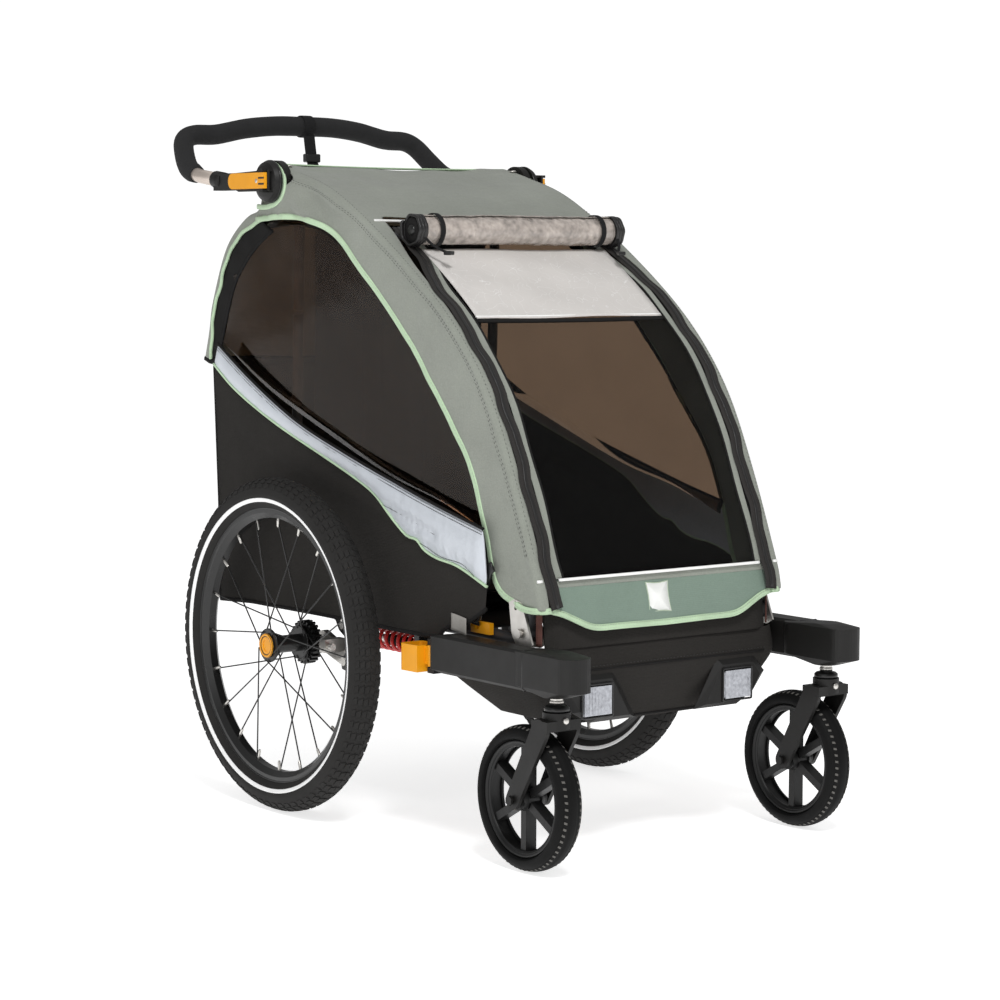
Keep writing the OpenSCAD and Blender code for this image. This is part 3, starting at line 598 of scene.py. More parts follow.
def build_cover_trim():
    arch = resample(ARCH, 90)
    cut = resample([HOOP[-1], Vector((236, 966)), Vector((219, 956))] + CUT_OUT, 40)
    wavy = [p + Vector((1.2 * math.sin(k * 0.7), 0.8 * math.cos(k * 0.5)))
            for k, p in enumerate(resample(FLAP, 60))]
    lining = resample(LINING, 40)
    hem = resample([Vector((470, 665)), Vector((452, 659)), Vector((434, 662))], 8)
    seam = resample([p for p in HOOP if -384 < p[0] < 200 and p[1] > 360], 90)
    for side, s in SIDES.items():
        side_strap("arch_binding_" + side, arch, s, 221.5, 9, 4.6, MINT, puffed=True)
        side_stitches("arch_stitch_" + side, offset_line(arch, 3.2), s, 224.2, THREAD, "cage",
                      5.0, 3.2, 0.4, True)
        side_strap("hub_binding_" + side, cut, s, 222, 8, 4.4, MINT, puffed=True)
        side_strap("flap_binding_" + side, wavy, s, 221.5, 6, 4, MINT)
        rows = [[Vector((s * (219.2 - 1.6 * f + 1.2 * rough_field(a[0], a[1], f, 20, s)), *(a.lerp(b, f))))
                 for f in steps(0, 1, 5)] for a, b in zip(resample(FLAP, 40), lining)]
        thicken(grid("flap_lining_" + side, rows, BLACK_CLOTH, "cage"), 1.2)
        side_strap("flap_lining_edge_" + side, lining, s, 217.6, 5, 3, BLACK_CLOTH)
        side_strap("flap_hem_" + side, hem, s, 220.5, 7, 4, BLACK_CLOTH)
        for k, (d, x) in enumerate(((-7.5, 223.4), (-11.0, 223.6))):
            side_stitches(f"corner_stitch_{side}_{k}", offset_line(seam, d), s, x, DARK_THREAD, "cage",
                          6.5, 3.0, 0.35, True)
        on_top = side_path(offset_line(seam, 0.9), s, 216.5, False)
        stitches(f"corner_stitch_{side}_2", on_top, normals_of(seam), DARK_THREAD, "cage", 6.5, 3.0, 0.35)
        snap = lathe("roof_snap_" + side, [(0.1, 0), (6, 0), (6.5, 1), (5.2, 2.4), (3, 3), (0.1, 3.1)],
                     (0, 0, 0), SILVER, n=28, closed=False)
        stand(snap, (s * 214, 232, 962), -90, "Y")
        snap.matrix_world = snap.matrix_world @ Matrix.Rotation(math.radians(14), 4, "Z")
        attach(snap, "cage")
    lip_z = value_at(HOOP, OPENING_TOP_Y) + 1
    lip = [Vector((x, OPENING_TOP_Y - 1, lip_z - 1.8 * max(0, 1 - (x / 216) ** 2)))
           for x in range(-206, 207, 8)]
    strap("roof_lip_piping", lip, (0, -0.5, 0.87), 4, 3.2, WHITE_PIPING, "cage")
    hem = [Vector((x, 466 - 2 * math.cos(x / 60), 664)) for x in range(-216, 217, 12)]
    strap("rear_hem_binding", hem, (0, 1, 0), 8, 4, BLACK_CLOTH, "cage")
    bar = [Vector((x, 262, 967 - 2.4 * max(0, 1 - (x / 216) ** 2))) for x in range(-216, 217, 12)]
    strap("roof_rear_seam", bar, (0, 0.3, 0.95), 6, 2.4, MINT, "cage")


# ---- front: zips, inner strips, net, shade and rolled window ----
def front_line(count, z0, z1, lift):
    part = [p for p in HOOP if z0 <= p[1] <= z1]
    return resample(offset_line(part, lift), count)


def zip_half(z):
    return 199.5 - 22 * soft_step(z, 775, 862) - 3 * (1 - soft_step(z, 350, 420))


def build_front():
    for side, s in SIDES.items():
        line = front_line(110, 351, 868, 2.2)
        up = normals_of(line)
        sway = [2.2 * math.sin(k * 0.33 + s) + 0.8 * math.sin(k * 0.71) for k in range(len(line))]
        mid = [Vector((s * (zip_half(p[1]) + w), p[0], p[1])) for p, w in zip(line, sway)]
        raised = [p + n for p, n in zip(mid, up)]
        strap("zip_tape_" + side, mid, up, 21, 1.6, ZIP_TAPE, "cage")
        strap("zip_guard_" + side, raised, up, 5.5, 2.0, ZIP_TEETH, "cage")
        stitches("zip_stitch_" + side, [p + Vector((s * 8.5, 0, 0)) for p in raised], up, DARK_THREAD, "cage",
                 6, 3.4, 0.35)
        low = front_line(100, 390, 868, 0.2)
        inner = [Vector((s * (zip_half(p[1]) - 16.5 + 1.2 * math.sin(k * 0.27)), p[0], p[1]))
                 for k, p in enumerate(low)]
        strap("zip_strip_" + side, inner, normals_of(low), 13, 1.4, SAGE, "cage")
        edge = [p + Vector((-s * 6.5, 0, 0)) for p in inner]
        strap("net_binding_" + side, edge, normals_of(low), 4, 2.2, BLACK_CLOTH, "cage")
    build_net()
    build_sunshade()


def build_net():
    net = front_line(60, 388, 882, -1.6)
    halves = [zip_half(p[1]) - 10 for p in net]
    rows = [[Vector((x * half, p[0], p[1] - 1.5 * (1 - x * x))) for x in steps(-1, 1, 28)]
            for p, half in zip(net, halves)]
    screen = thicken(grid("front_net", rows, NET, "cage"), 0.6)
    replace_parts(screen, "front_screen")


def build_sunshade():
    half = 171
    tilt = (0, -0.73, 0.68)
    shade = front_line(26, 739, 851, 1.6)
    rows = [[Vector((half * x, p[0], p[1] + 1.2 * math.sin(4 * x + k * 0.4) * (1 - x * x)))
             for x in steps(-1, 1, 32)] for k, p in enumerate(shade)]
    cloth = thicken(grid("sunshade_cloth", rows, SHADE, "cage"), 0.7)
    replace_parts(cloth, "sunshade")
    edge = [Vector((x, -186.5, 743.6)) for x in range(-half, half + 1, 9)]
    strap("shade_white_edge", edge, tilt, 2.2, 2.4, WHITE_PIPING, "cage")
    bar = [Vector((x, -190.5, 737.8 - 1.4 * (1 - (x / 172) ** 2))) for x in range(-172, 173, 8)]
    strap("shade_bar", bar, tilt, 6.5, 4.4, BLACK_CLOTH, "cage")
    for side, s in SIDES.items():
        cord = smooth([(s * 170, -191, 738), (s * 178, -188, 735), (s * 186, -196, 727),
                       (s * 190, -205, 716)])
        tube("shade_elastic_" + side, cord, 1.2, WEBBING, "cage", sides=8, up=(0, 0.6, 0.8))
        hook = smooth([(s * 190, -205, 718), (s * 194, -211, 711), (s * 190, -215, 704),
                       (s * 186, -211, 708)])
        tube("shade_hook_" + side, hook, 1.8, GLOSS_BLACK, "cage", sides=8, up=(1, 0, 0))


ROLL_Y, ROLL_Z = -56, 866


def build_rolled_window():
    turns, n = 2.4, 96
    rows = []
    for x in steps(-174, 174, 62):
        row = []
        for k in range(n + 1):
            a = 2 * math.pi * turns * k / n
            r = 16.0 + 6.4 * k / n
            r += 0.9 * rough_field(x, 30 * math.cos(a), 30 * math.sin(a), 16, 4) + 0.5 * math.sin(x / 37 + a)
            row.append(Vector((x, ROLL_Y + r * math.cos(a - 0.6), ROLL_Z + r * math.sin(a - 0.6))))
        rows.append(row)
    roll = thicken(grid("rolled_window", rows, CLEAR, "cage"), 0.5)
    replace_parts(roll, "window_roll")
    for side, s in SIDES.items():
        coil = []
        for k in range(151):
            a = 2 * math.pi * 3.1 * k / 150
            r = 21.6 + 0.7 * math.sin(k * 0.9)
            x = s * (176 + 16 * k / 150)
            coil.append(Vector((x, ROLL_Y + r * math.cos(a), ROLL_Z + r * math.sin(a))))
        strap("roll_zip_coil_" + side, coil, away_from(coil, ROLL_Y, ROLL_Z), 5.6, 4.2, ZIP_TEETH, "cage",
              sides=10)
        end = [(0.1, 189), (9, 190), (18, 189), (20.6, 185), (20, 174), (0.1, 174)]
        core = [(0.1, 192), (6, 192.4), (8, 190), (8, 187)]
        for name, profile, mat, n_round in (("end", end, BLACK_CLOTH, 48), ("core", core, GLOSS_BLACK, 32)):
            lathe(f"roll_{name}_{side}", [(r, s * x) for r, x in profile], (0, ROLL_Y, ROLL_Z), mat, "cage",
                  n=n_round, closed=False)
        band = ring_path(s * 150, ROLL_Y, ROLL_Z, 24.2, range(60, 330, 10))
        strap("roll_strap_" + side, band, away_from(band, ROLL_Y, ROLL_Z), 9, 1.4, WEBBING, "cage")
        tab = smooth([(s * 180, -75, 856), (s * 174, -86, 845), (s * 166, -95, 838), (s * 160, -103, 834)])
        strap("roll_tab_" + side, tab, (0, -0.7, 0.7), 5, 2.0, WEBBING, "cage")
        slab("roll_toggle_" + side, [(s * 153, -112), (s * 163, -116), (s * 168, -104), (s * 158, -99)],
             830, 836, 2, GLOSS_BLACK, "cage", round_off=1.6)


def build_side_windows():
    low_line = smooth([(-272, 449), (-171, 482), (-46, 510), (112, 561), (275, 619), (404, 684), (440, 700)])
    low = resample(low_line, 60)
    top = resample([p + Vector((-6, 0)) for p in ARCH if p[1] > 458] + FLAP[6:], 60)
    rail = resample([Vector((p[0], p[1] - 7)) for p in ARCH if p[0] > -60 and p[1] > 740], 40)
    for side, s in SIDES.items():
        rows = []
        for a, b in zip(low, top):
            row = []
            for f in steps(0, 1, 18):
                y, z = a.lerp(b, f)
                x = 218.0 - 1.2 * math.sin(math.pi * f) + 1.0 * rough_field(y, z, s, 130, 9)
                row.append(Vector((s * x, y, z)))
            rows.append(row)
        pane = thicken(grid("side_pane_" + side, rows, SMOKED, None), 0.7)
        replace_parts(pane, "side_window_" + side)
        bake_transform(pane)
        side_strap("pane_top_band_" + side, rail, s, 217.0, 15, 1.6, BLACK_CLOTH)


build_canopy()
build_rear_cover()
build_cover_trim()
build_front()
build_rolled_window()
build_side_windows()


# ---- lower body ----
BAND_TOP = smooth([(400, 690), (294, 633), (172, 579), (38, 538), (-74, 508), (-180, 481), (-296, 455)])
BAND_LOW = smooth([(412, 658), (343, 618), (230, 573), (104, 533), (20, 506), (-33, 485), (-70, 459),
                   (-97, 441), (-118, 430), (-140, 427), (-159, 414), (-190, 405), (-240, 398), (-306, 376)])
LOBE_SEAMS = [smooth([(-42, 474), (-115, 457), (-184, 438)]),
              smooth([(-112, 429), (-156, 421), (-199, 408), (-250, 402), (-280, 386)])]


def seam_distance(p, lines):
    return min((Vector(p) - q).length for line in lines for q in line)


def pucker_band(band, ring, cols, s):
    """Small puckers along both seams of a side band."""
    for k, v in enumerate(band.data.vertices):
        j = k % ring
        if 0 < j < cols - 1:
            y, z = v.co[1] / MM, v.co[2] / MM
            f = j / (cols - 1)
            edge = math.exp(-((f - 0.12) / 0.2) ** 2) + 0.8 * math.exp(-((f - 0.8) / 0.16) ** 2)
            pucker = noise.noise(Vector((y / 7.5, 1.7 * s, z / 34)))
            v.co[0] += s * MM * (1.5 * pucker * edge + 0.7 * rough_field(y, z, 0, 26, s))


def build_side_bands():
    u_count, cols = 150, 14
    ring = cols + 4
    top, low = resample(BAND_TOP, u_count), resample(BAND_LOW, u_count)
    edge = resample(BAND_TOP, 70)
    for side, s in SIDES.items():
        verts, pinned = [], []
        for i in range(u_count):
            width = (top[i] - low[i]).length
            for j, f in enumerate(steps(0, 1, cols - 1)):
                p = low[i].lerp(top[i], f)
                crown = math.sin(math.pi * min(f, 1)) ** 0.7 * min(width / 9, 5.0)
                near = seam_distance(p, LOBE_SEAMS) if p[0] < -20 else 99
                crown *= 0.25 + 0.75 * soft_step(near, 1.5, 11)
                crown *= soft_step(i, 0, 3) * soft_step(u_count - 1 - i, 0, 3)
                if j in (0, cols - 1, cols - 3) or near < 3.2 or i in (0, u_count - 1):
                    pinned.append(len(verts))
                if j == cols - 3:
                    crown *= 0.55
                verts.append(Vector((s * (239.4 + crown), *p)))
            for f in (0.97, 0.66, 0.33, 0.03):
                pinned.append(len(verts))
                verts.append(Vector((s * 236.6, *low[i].lerp(top[i], f))))
        band = make("side_pad_" + side, verts, rod_faces(u_count, ring), SILVER_CLOTH, None)
        inflate(band, pinned, 5.0, 4.0, 14)
        pucker_band(band, ring, cols, s)
        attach(subdivide(band), "base")
        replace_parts(band, "side_band_" + side)
        side_strap("band_top_edge_" + side, offset_line(edge, -0.5), s, 239.4, 3.4, 5.0, BLACK_CLOTH, "base")
        for k, d in enumerate((3.6, 7.6)):
            side_stitches(f"band_stitch_{side}_{k}", offset_line(edge, d), s, 241.6, DARK_THREAD, "base",
                          4.2, 3.4, 0.5)
        for k, line in enumerate(LOBE_SEAMS):
            side_stitches(f"lobe_stitch_{side}_{k}", resample(line, 40), s, 241.1, DARK_THREAD, "base",
                          3.6, 2.9, 0.5)
        side_strap("band_piping_" + side, resample(BAND_LOW, 90), s, 239.8, 3.4, 4.4, MINT, "base")


def wall_x(y, z, crease, s):
    """How far out a side wall stands, with one long fold that follows the band."""
    d = z - value_at(crease, y)
    fade = soft_step(y, -180, -40) * (1 - soft_step(y, 290, 380))
    fold = 2.6 * math.exp(-((d - 14) / 16) ** 2) - 2.8 * math.exp(-(d / 7) ** 2)
    return min(238.4 + min(fold * fade, 2.2) + 1.3 * rough_field(y, z, s, 90, 2), 241)


def build_side_walls():
    top = resample(BAND_LOW, 80)
    low = resample([Vector(p) for p in ((397, 287), (304, 292), (117, 293), (-190, 292), (-208, 309),
                                        (-262, 322), (-303, 345))], 80)
    crease = smooth([(330, 548), (289, 534), (184, 502), (115, 485), (33, 466), (-63, 446), (-150, 418)])
    back = resample([Vector((397, 287)), Vector((400, 445)), Vector((412, 655))], 40)
    for side, s in SIDES.items():
        rows = [[Vector((s * wall_x(*a.lerp(b, f), crease, s), *a.lerp(b, f))) for f in steps(0, 1, 24)]
                for a, b in zip(low, top)]
        wall = grid("side_wall_cloth_" + side, rows, CHARCOAL, "base")
        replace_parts(thicken(wall, 1.6, levels=1), "side_wall_" + side)
        side_strap("wall_hem_" + side, resample(low, 60), s, 238.4, 6, 4.2, BLACK_CLOTH, "base")
        side_strap("wall_back_edge_" + side, back, s, 238.2, 5, 4, BLACK_CLOTH, "base")
        side_stitches("wall_stitch_" + side, [p + Vector((-6, 0)) for p in back], s, 240.2, DARK_THREAD,
                      "base", 6, 3.4, 0.35)


# The floor shell from its rim down: (y, z) in front, (y, z) behind and (half width, z).
SHELL_SIDE = [(-391.5, 296), (-399, 276), (-404, 263), (-402, 250), (-392, 222), (-380, 190)]
SHELL_BACK = [(-150, 296), (-158, 276), (-164, 262), (-170, 246), (-205, 214), (-247, 190)]
SHELL_HALF = [(228, 296), (226, 280), (222.5, 262), (217, 249), (198, 222), (171, 190)]


def build_floor():
    rows = []
    for (fy, z), (by, _), (half, _) in zip(SHELL_SIDE, SHELL_BACK, SHELL_HALF):
        ring = [Vector((half, by + (fy + 46 - by) * k / 6, z)) for k in range(7)]
        ring += [Vector((half - 34 + 34 * math.cos(a), fy + 34 - 34 * math.sin(a), z))
                 for a in [math.pi / 2 * k / 7 for k in range(1, 8)]]
        ring += [Vector((x, fy, z)) for x in steps(half - 34, 0, 10)[1:]]
        ring += [Vector((-p[0], p[1], p[2])) for p in ring[-2::-1]]
        rows.append(ring)
    n = len(rows[0])
    fine = [[smooth([r[j] for r in rows], 4)[i] for j in range(n)] for i in range(4 * (len(rows) - 1) + 1)]
    for ring in fine:
        for p in ring:
            p.y += 1.6 * rough_field(p.x, p.y, p.z, 80, 6)
    bottom_ring = [Vector((p[0] * 0.965, p[1] + (5 if p[1] < -300 else -4), 184.2)) for p in fine[-1]]
    fine.append(bottom_ring)
    verts = [p for r in fine for p in r]
    faces = grid_faces(len(fine), n)
    first = (len(fine) - 1) * n
    for j in range(n // 2):
        a, b, c, d = first + j, first + j + 1, first + n - 2 - j, first + n - 1 - j
        faces.append((a, b, c, d) if b != c else (a, b, d))
    tub = make("tub_cloth", verts, faces, CHARCOAL, "base")
    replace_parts(thicken(tub, 1.8, levels=1), "floor_shell")
    build_tub_front()
    floor = slab("floor_panel", box_outline(-174, 174, -152, 361), 291.2, 293.8, 2, BLACK_CLOTH, "base",
                 round_off=0.6)
    for z, w, name in ((263.5, 186, "upper"), (188, 136, "lower")):
        y = value_at([(p[1], p[0]) for p in SHELL_SIDE], z)
        line = [Vector((x, y - 1.3, z)) for x in range(-w, w + 1, 12)]
        strap("tub_seam_" + name, line, (0, -1, 0), 2.6, 2.2, BLACK_CLOTH, "base")
        stitches("tub_stitch_" + name, [p + Vector((0, -0.4, 4.5)) for p in line], (0, -1, 0), DARK_THREAD,
                 "base", 6, 3.6, 0.35)
    for side, s in SIDES.items():
        tape = [Vector((s * 209, -383.5, z)) for z in range(300, 346, 5)]
        strap("front_webbing_" + side, tape, (s * 0.75, -0.66, 0), 9, 2.4, RED_WEBBING, "base")


def build_tub_front():
    rows = []
    for z in steps(294, 384, 16):
        row = []
        for x in steps(-203, 203, 40):
            y = -397 + 11.6 * (z - 296) / 88 + 10 * soft_step(abs(x), 180, 203)
            row.append(Vector((x, y + 1.5 * rough_field(x, y, z, 75, 11), z)))
        rows.append(row)
    panel = thicken(grid("tub_front_cloth", rows, CHARCOAL, None), 1.8, levels=1)
    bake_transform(panel)


APRON_TOP_Z = 390
APRON_HALF = 200
HEM = smooth([(0, 319), (80, 320), (122, 320.5), (142, 325), (160, 333), (180, 342), (200, 348), (219, 352)])


def apron_y(z):
    return value_at([(322, -403.2), (352, -396.6), (366, -393.2), (390, -388.4)], z)


def build_apron():
    """The sage panel under the net, its trims and its plain tag."""
    rows = []
    for x in steps(-APRON_HALF, APRON_HALF, 72):
        low = value_at(HEM, abs(x))
        row = []
        for f in steps(0, 1, 12):
            z = APRON_TOP_Z + (low - APRON_TOP_Z) * f
            ripple = 1.1 * rough_field(x, 0, z, 42, 3) + 0.9 * math.sin(x / 21) * f ** 2
            row.append(Vector((x, apron_y(z) - 0.8 + min(ripple, 0.6) - 1.6 * f, z)))
        rows.append(row)
    apron = thicken(grid("apron_cloth", rows, SAGE_DEEP, None), 1.6, levels=1)
    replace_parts(apron, "front_apron")
    parts = [apron]
    for name, x0, x1 in (("middle", -184, 185), ("left", 211, 222), ("right", -221, -210)):
        top = [Vector((x, -395.0, 390.2)) for x in range(x0, x1, 4)]
        parts.append(strap("apron_piping_" + name, top, (0, -1, 0.1), 4.2, 3.6, WHITE_PIPING))
    forward = (0, -1, 0.15)
    band = [Vector((x, apron_y(384) - 2.3, 383.6)) for x in range(-APRON_HALF, APRON_HALF + 1, 8)]
    parts.append(strap("apron_top_strip", band, forward, 9.5, 1.6, SAGE))
    hem = []
    for x in range(-204, 205, 6):
        z = value_at(HEM, abs(x))
        hem.append(Vector((x, apron_y(z) - 3.0, z + 1)))
    parts.append(strap("apron_hem", hem, forward, 9, 3.4, MINT))
    for k, up in enumerate((3.0, -1.6)):
        parts.append(stitches(f"apron_stitch_{k}", [p + Vector((0, -1.7, up)) for p in hem], forward, THREAD,
                              None, 4.6, 3.2, 0.42))
    parts += build_tag()
    for part in parts:
        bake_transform(part)
    for side, s in SIDES.items():
        build_corner_hem(side, s)


def build_corner_hem(side, s):
    route = smooth([(s * 203, -402.5, 350), (s * 214, -402.5, 350), (s * 220.5, -398, 350),
                    (s * 225, -386, 350), (s * 225.2, -368, 351), (s * 224.5, -352, 355)])
    turned = [soft_step(abs(p.x), 206, 222) for p in route]
    out = [Vector((s * t, t - 1.001, 0)) for t in turned]
    strap("corner_hem_" + side, route, out, 9, 3.6, MINT, "cage")
    stitches("corner_hem_stitch_" + side, [p + n * 1.8 for p, n in zip(route, out)], out, THREAD, "cage",
             4.6, 3.2, 0.42)


def build_tag():
    """A plain square tag whose sides pull in between its corners."""
    x0, z0, w, h, n = -9, 355, 20, 21, 10
    outline = []
    for a, b in (((-1, -1), (1, -1)), ((1, -1), (1, 1)), ((1, 1), (-1, 1)), ((-1, 1), (-1, -1))):
        for k in range(n):
            t = k / n
            pinch = 1 - 0.09 * math.sin(math.pi * t)
            px, pz = a[0] + (b[0] - a[0]) * t, a[1] + (b[1] - a[1]) * t
            px, pz = (px, pz * pinch) if a[1] == b[1] else (px * pinch, pz)
            z = z0 + h * pz
            outline.append(Vector((x0 + w * px, apron_y(z) - 2.6, z)))
    middle = Vector((x0, apron_y(z0) - 3.3, z0))
    faces = [(i, (i + 1) % len(outline), len(outline)) for i in range(len(outline))]
    tag = thicken(make("apron_tag", outline + [middle], faces, TAG), 1.2)
    return [tag, strap("apron_tag_edge", outline + [outline[0]], (0, -1, 0.2), 1.6, 1.8, THREAD)]


def pad(name, centre_line, half_w, thick, crown_dir, mat, channels, edge_in=6.0):
    """A stuffed panel along a side-view line, with sewn channels across it; swells towards crown_dir."""
    rows_n, cols = 56, 32
    line = resample(centre_line, rows_n)
    up = Vector(crown_dir)
    verts, pinned, ring = [], [], 2 * cols
    for i, p in enumerate(line):
        f = i / (rows_n - 1)
        pull = 1 - (edge_in / half_w) * math.sin(math.pi * f)
        seam = min([abs(f - c) * (rows_n - 1) for c in channels] + [9])
        for j in range(ring):
            back = j >= cols
            g = (j - cols if back else j) / (cols - 1)
            g = 1 - g if back else g
            x = (2 * g - 1) * half_w * pull
            across = math.sin(math.pi * min(max(g, 0.0), 1.0)) ** 0.5
            body = across * math.sin(math.pi * min(max(f, 0.01), 0.99)) ** 0.35
            crown = thick * body * (0.45 + 0.55 * min(seam / 3, 1))
            d = -0.25 * crown if back else 0.75 * crown
            if back or j in (0, cols - 1) or i in (0, rows_n - 1) or seam < 0.6:
                pinned.append(len(verts))
            verts.append(Vector((x, p[0] + up[0] * d, p[1] + up[1] * d)))
    obj = make(name, verts, rod_faces(rows_n, ring), mat)
    inflate(obj, pinned, 4.0, 5.0, 14)
    return subdivide(obj)


def build_inside():
    back = pad("seat_back_pad", [Vector((260, 345)), Vector((236, 876))], 168, 11, (-1, -0.05), BLACK_CLOTH,
               (0.3, 0.55, 0.8))
    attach(back, "base")
    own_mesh(back)
    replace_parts(back, "seat_back")
    seat = pad("seat_pad", [Vector((-56, 331)), Vector((60, 330)), Vector((248, 326))], 168, 11, (0, 1),
               BLACK_CLOTH, (0.36, 0.7))
    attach(seat, "base")
    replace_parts(seat, "seat_pan")
    belts = []
    for side, s in SIDES.items():
        line = smooth([(s * 62, 227, 800), (s * 62, 229, 700), (s * 61, 232, 600), (s * 58, 236, 480),
                       (s * 50, 238, 400), (s * 40, 220, 356), (s * 24, 170, 352)])
        belts.append(strap("harness_belt_" + side, line, (0, -1, 0.05), 25, 2, WEBBING))
        belts.append(strap("harness_pad_" + side, line[:20], (0, -1, 0.05), 38, 7, BLACK_CLOTH))
    crotch = smooth([(0, 215, 343), (0, 180, 347), (0, 130, 349)])
    belts.append(strap("harness_crotch", crotch, (0, 0, 1), 25, 2, WEBBING))
    for belt in belts:
        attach(belt, "base")
        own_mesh(belt)
    buckle = slab("harness_buckle", [(-18, 66), (18, 66), (21, 92), (17, 116), (-17, 116), (-21, 92)],
                  345, 357, 2, PLASTIC, "base", round_off=3)
    button = slab("harness_button", box_outline(-9, 9, 74, 92), 356, 359, 2, ORANGE, "base", round_off=1)
    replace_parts(buckle, "harness")
    rows = [[Vector((x, 399.5 + 11 * (z - 322) / 333 + 1.2 * rough_field(x, 0, z, 90, 13), z))
             for x in range(-216, 217, 18)] for z in steps(322, 655, 20)]
    rear = thicken(grid("rear_wall_cloth", rows, CHARCOAL, "base"), 1.8, levels=1)
    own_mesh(rear)
    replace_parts(rear, "rear_panel")
    shelf = [[Vector((x, 411 + 54 * k / 8, 653 + 8 * k / 8 - 3 * math.sin(math.pi * k / 8)))
              for x in range(-216, 217, 18)] for k in range(9)]
    thicken(grid("rear_shelf_cloth", shelf, BLACK_CLOTH, "cage"), 1.4)
    edge = [Vector((x, 411.5, 655)) for x in range(-216, 217, 18)]
    trim = strap("rear_wall_binding", edge, (0, 1, 0), 7, 3.6, BLACK_CLOTH, "base")
    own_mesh(trim)


build_side_bands()
build_side_walls()
build_floor()
build_apron()
build_inside()


# ---- wheels and casters ----
AXLE = (133.0, 250.0)
WHEEL_X = 299
TYRE_R = 226


def build_tyre(side, s):
    x0 = WHEEL_X * s
    body = []
    for k in range(41):
        a = math.radians(126 - 252 * k / 40)
        r = 22.4 + (0.7 if abs(a) > 1.5 else 0)
        body.append((TYRE_R + r * math.cos(a), r * 1.04 * math.sin(a)))
    body = [(204, -13), *body[::-1], (204, 13)]
    tyre = lathe("tyre_body_" + side, body, (x0, *AXLE), TYRE, "wheel_" + side, n=128)
    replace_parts(tyre, "tyre_" + side)
    verts, faces = [], []
    rows = ((0, 8.2, 0.36), (19, 7.4, 0.30), (-19, 7.4, 0.30), (38, 7.2, 0.40), (-38, 7.2, 0.40),
            (57, 6.6, 0.34), (-57, 6.6, 0.34))
    count = 84
    for row, (lean, wide, slant) in enumerate(rows):
        a0 = math.radians(lean)
        for k in range(count):
            mid = 2 * math.pi * (k + 0.5 * (row % 2)) / count
            first = len(verts)
            for h, shrink in ((21.6, 1.0), (24.0, 0.82)):
                for du, dv in ((-1, -1), (1, -1), (1, 1), (-1, 1)):
                    a = a0 + dv * shrink * wide / 2 / 22
                    tilt = slant * dv * (1 if lean >= 0 else -1)
                    t = mid + (du * 5.9 * shrink + tilt * 5) / 250
                    r = TYRE_R + h * math.cos(a)
                    verts.append((x0 + h * 1.02 * math.sin(a), AXLE[0] + r * math.cos(t),
                                  AXLE[1] + r * math.sin(t)))
            faces += [tuple(first + q for q in f) for f in
                      ((0, 1, 2, 3), (4, 7, 6, 5), (0, 4, 5, 1), (1, 5, 6, 2), (2, 6, 7, 3), (3, 7, 4, 0))]
    make("tyre_tread_" + side, verts, faces, TYRE, "wheel_" + side, flat=True)
    for name, sign in (("outer", s), ("inner", -s)):
        ring = [(TYRE_R + 23.6 * math.cos(math.radians(a)), sign * 24.3 * math.sin(math.radians(a)))
                for a in (104, 108, 112, 116, 119)]
        stripe = lathe(f"tyre_stripe_{name}_{side}", ring, (x0, *AXLE), STRIPE, "wheel_" + side, n=128,
                       closed=False)
        thicken(stripe, 0.5)
    verts, faces = [], []
    for k in range(20):
        a = 2 * math.pi * k / 20
        for r, w in ((190.5, 2.4), (178, 2.2), (176, 1.3)):
            for q in range(8):
                b = 2 * math.pi * q / 8
                verts.append((x0 + w * math.cos(b), AXLE[0] + r * math.cos(a) - w * math.sin(b) * math.sin(a),
                              AXLE[1] + r * math.sin(a) + w * math.sin(b) * math.cos(a)))
        first = len(verts) - 24
        faces += grid_faces(3, 8, first, closed=True)
    make("spoke_nipples_" + side, verts, faces, SILVER, "wheel_" + side)
    lip = [(203.6, 13.4), (205.6, 14.2), (205.6, 12.4), (203.6, 12.0)]
    for name, sign in (("outer", 1), ("inner", -1)):
        profile = [(r, sign * x) for r, x in lip]
        lathe(f"rim_lip_{name}_{side}", profile, (x0, *AXLE), GLOSS_BLACK, "wheel_" + side, n=128)
    cap = lathe("hub_cap_ring_" + side, [(14, s * 318.5), (17.5, s * 319), (18.3, s * 321), (17, s * 322.6),
                                         (14.5, s * 322.2)], (0, *AXLE), ORANGE, "wheel_" + side, n=64)
    flange = [(23.9, 1.4), (25.3, 1), (25.5, 0), (25.3, -1.6), (23.9, -2)]
    for k, middle in enumerate((263, 316.5)):
        profile = [(r, s * (middle + x)) for r, x in flange]
        lathe(f"hub_flange_lip_{side}_{k}", profile, (0, *AXLE), GLOSS_BLACK, "wheel_" + side, n=64)


CASTER_X, CASTER_Y, CASTER_R = 247, -411, 100


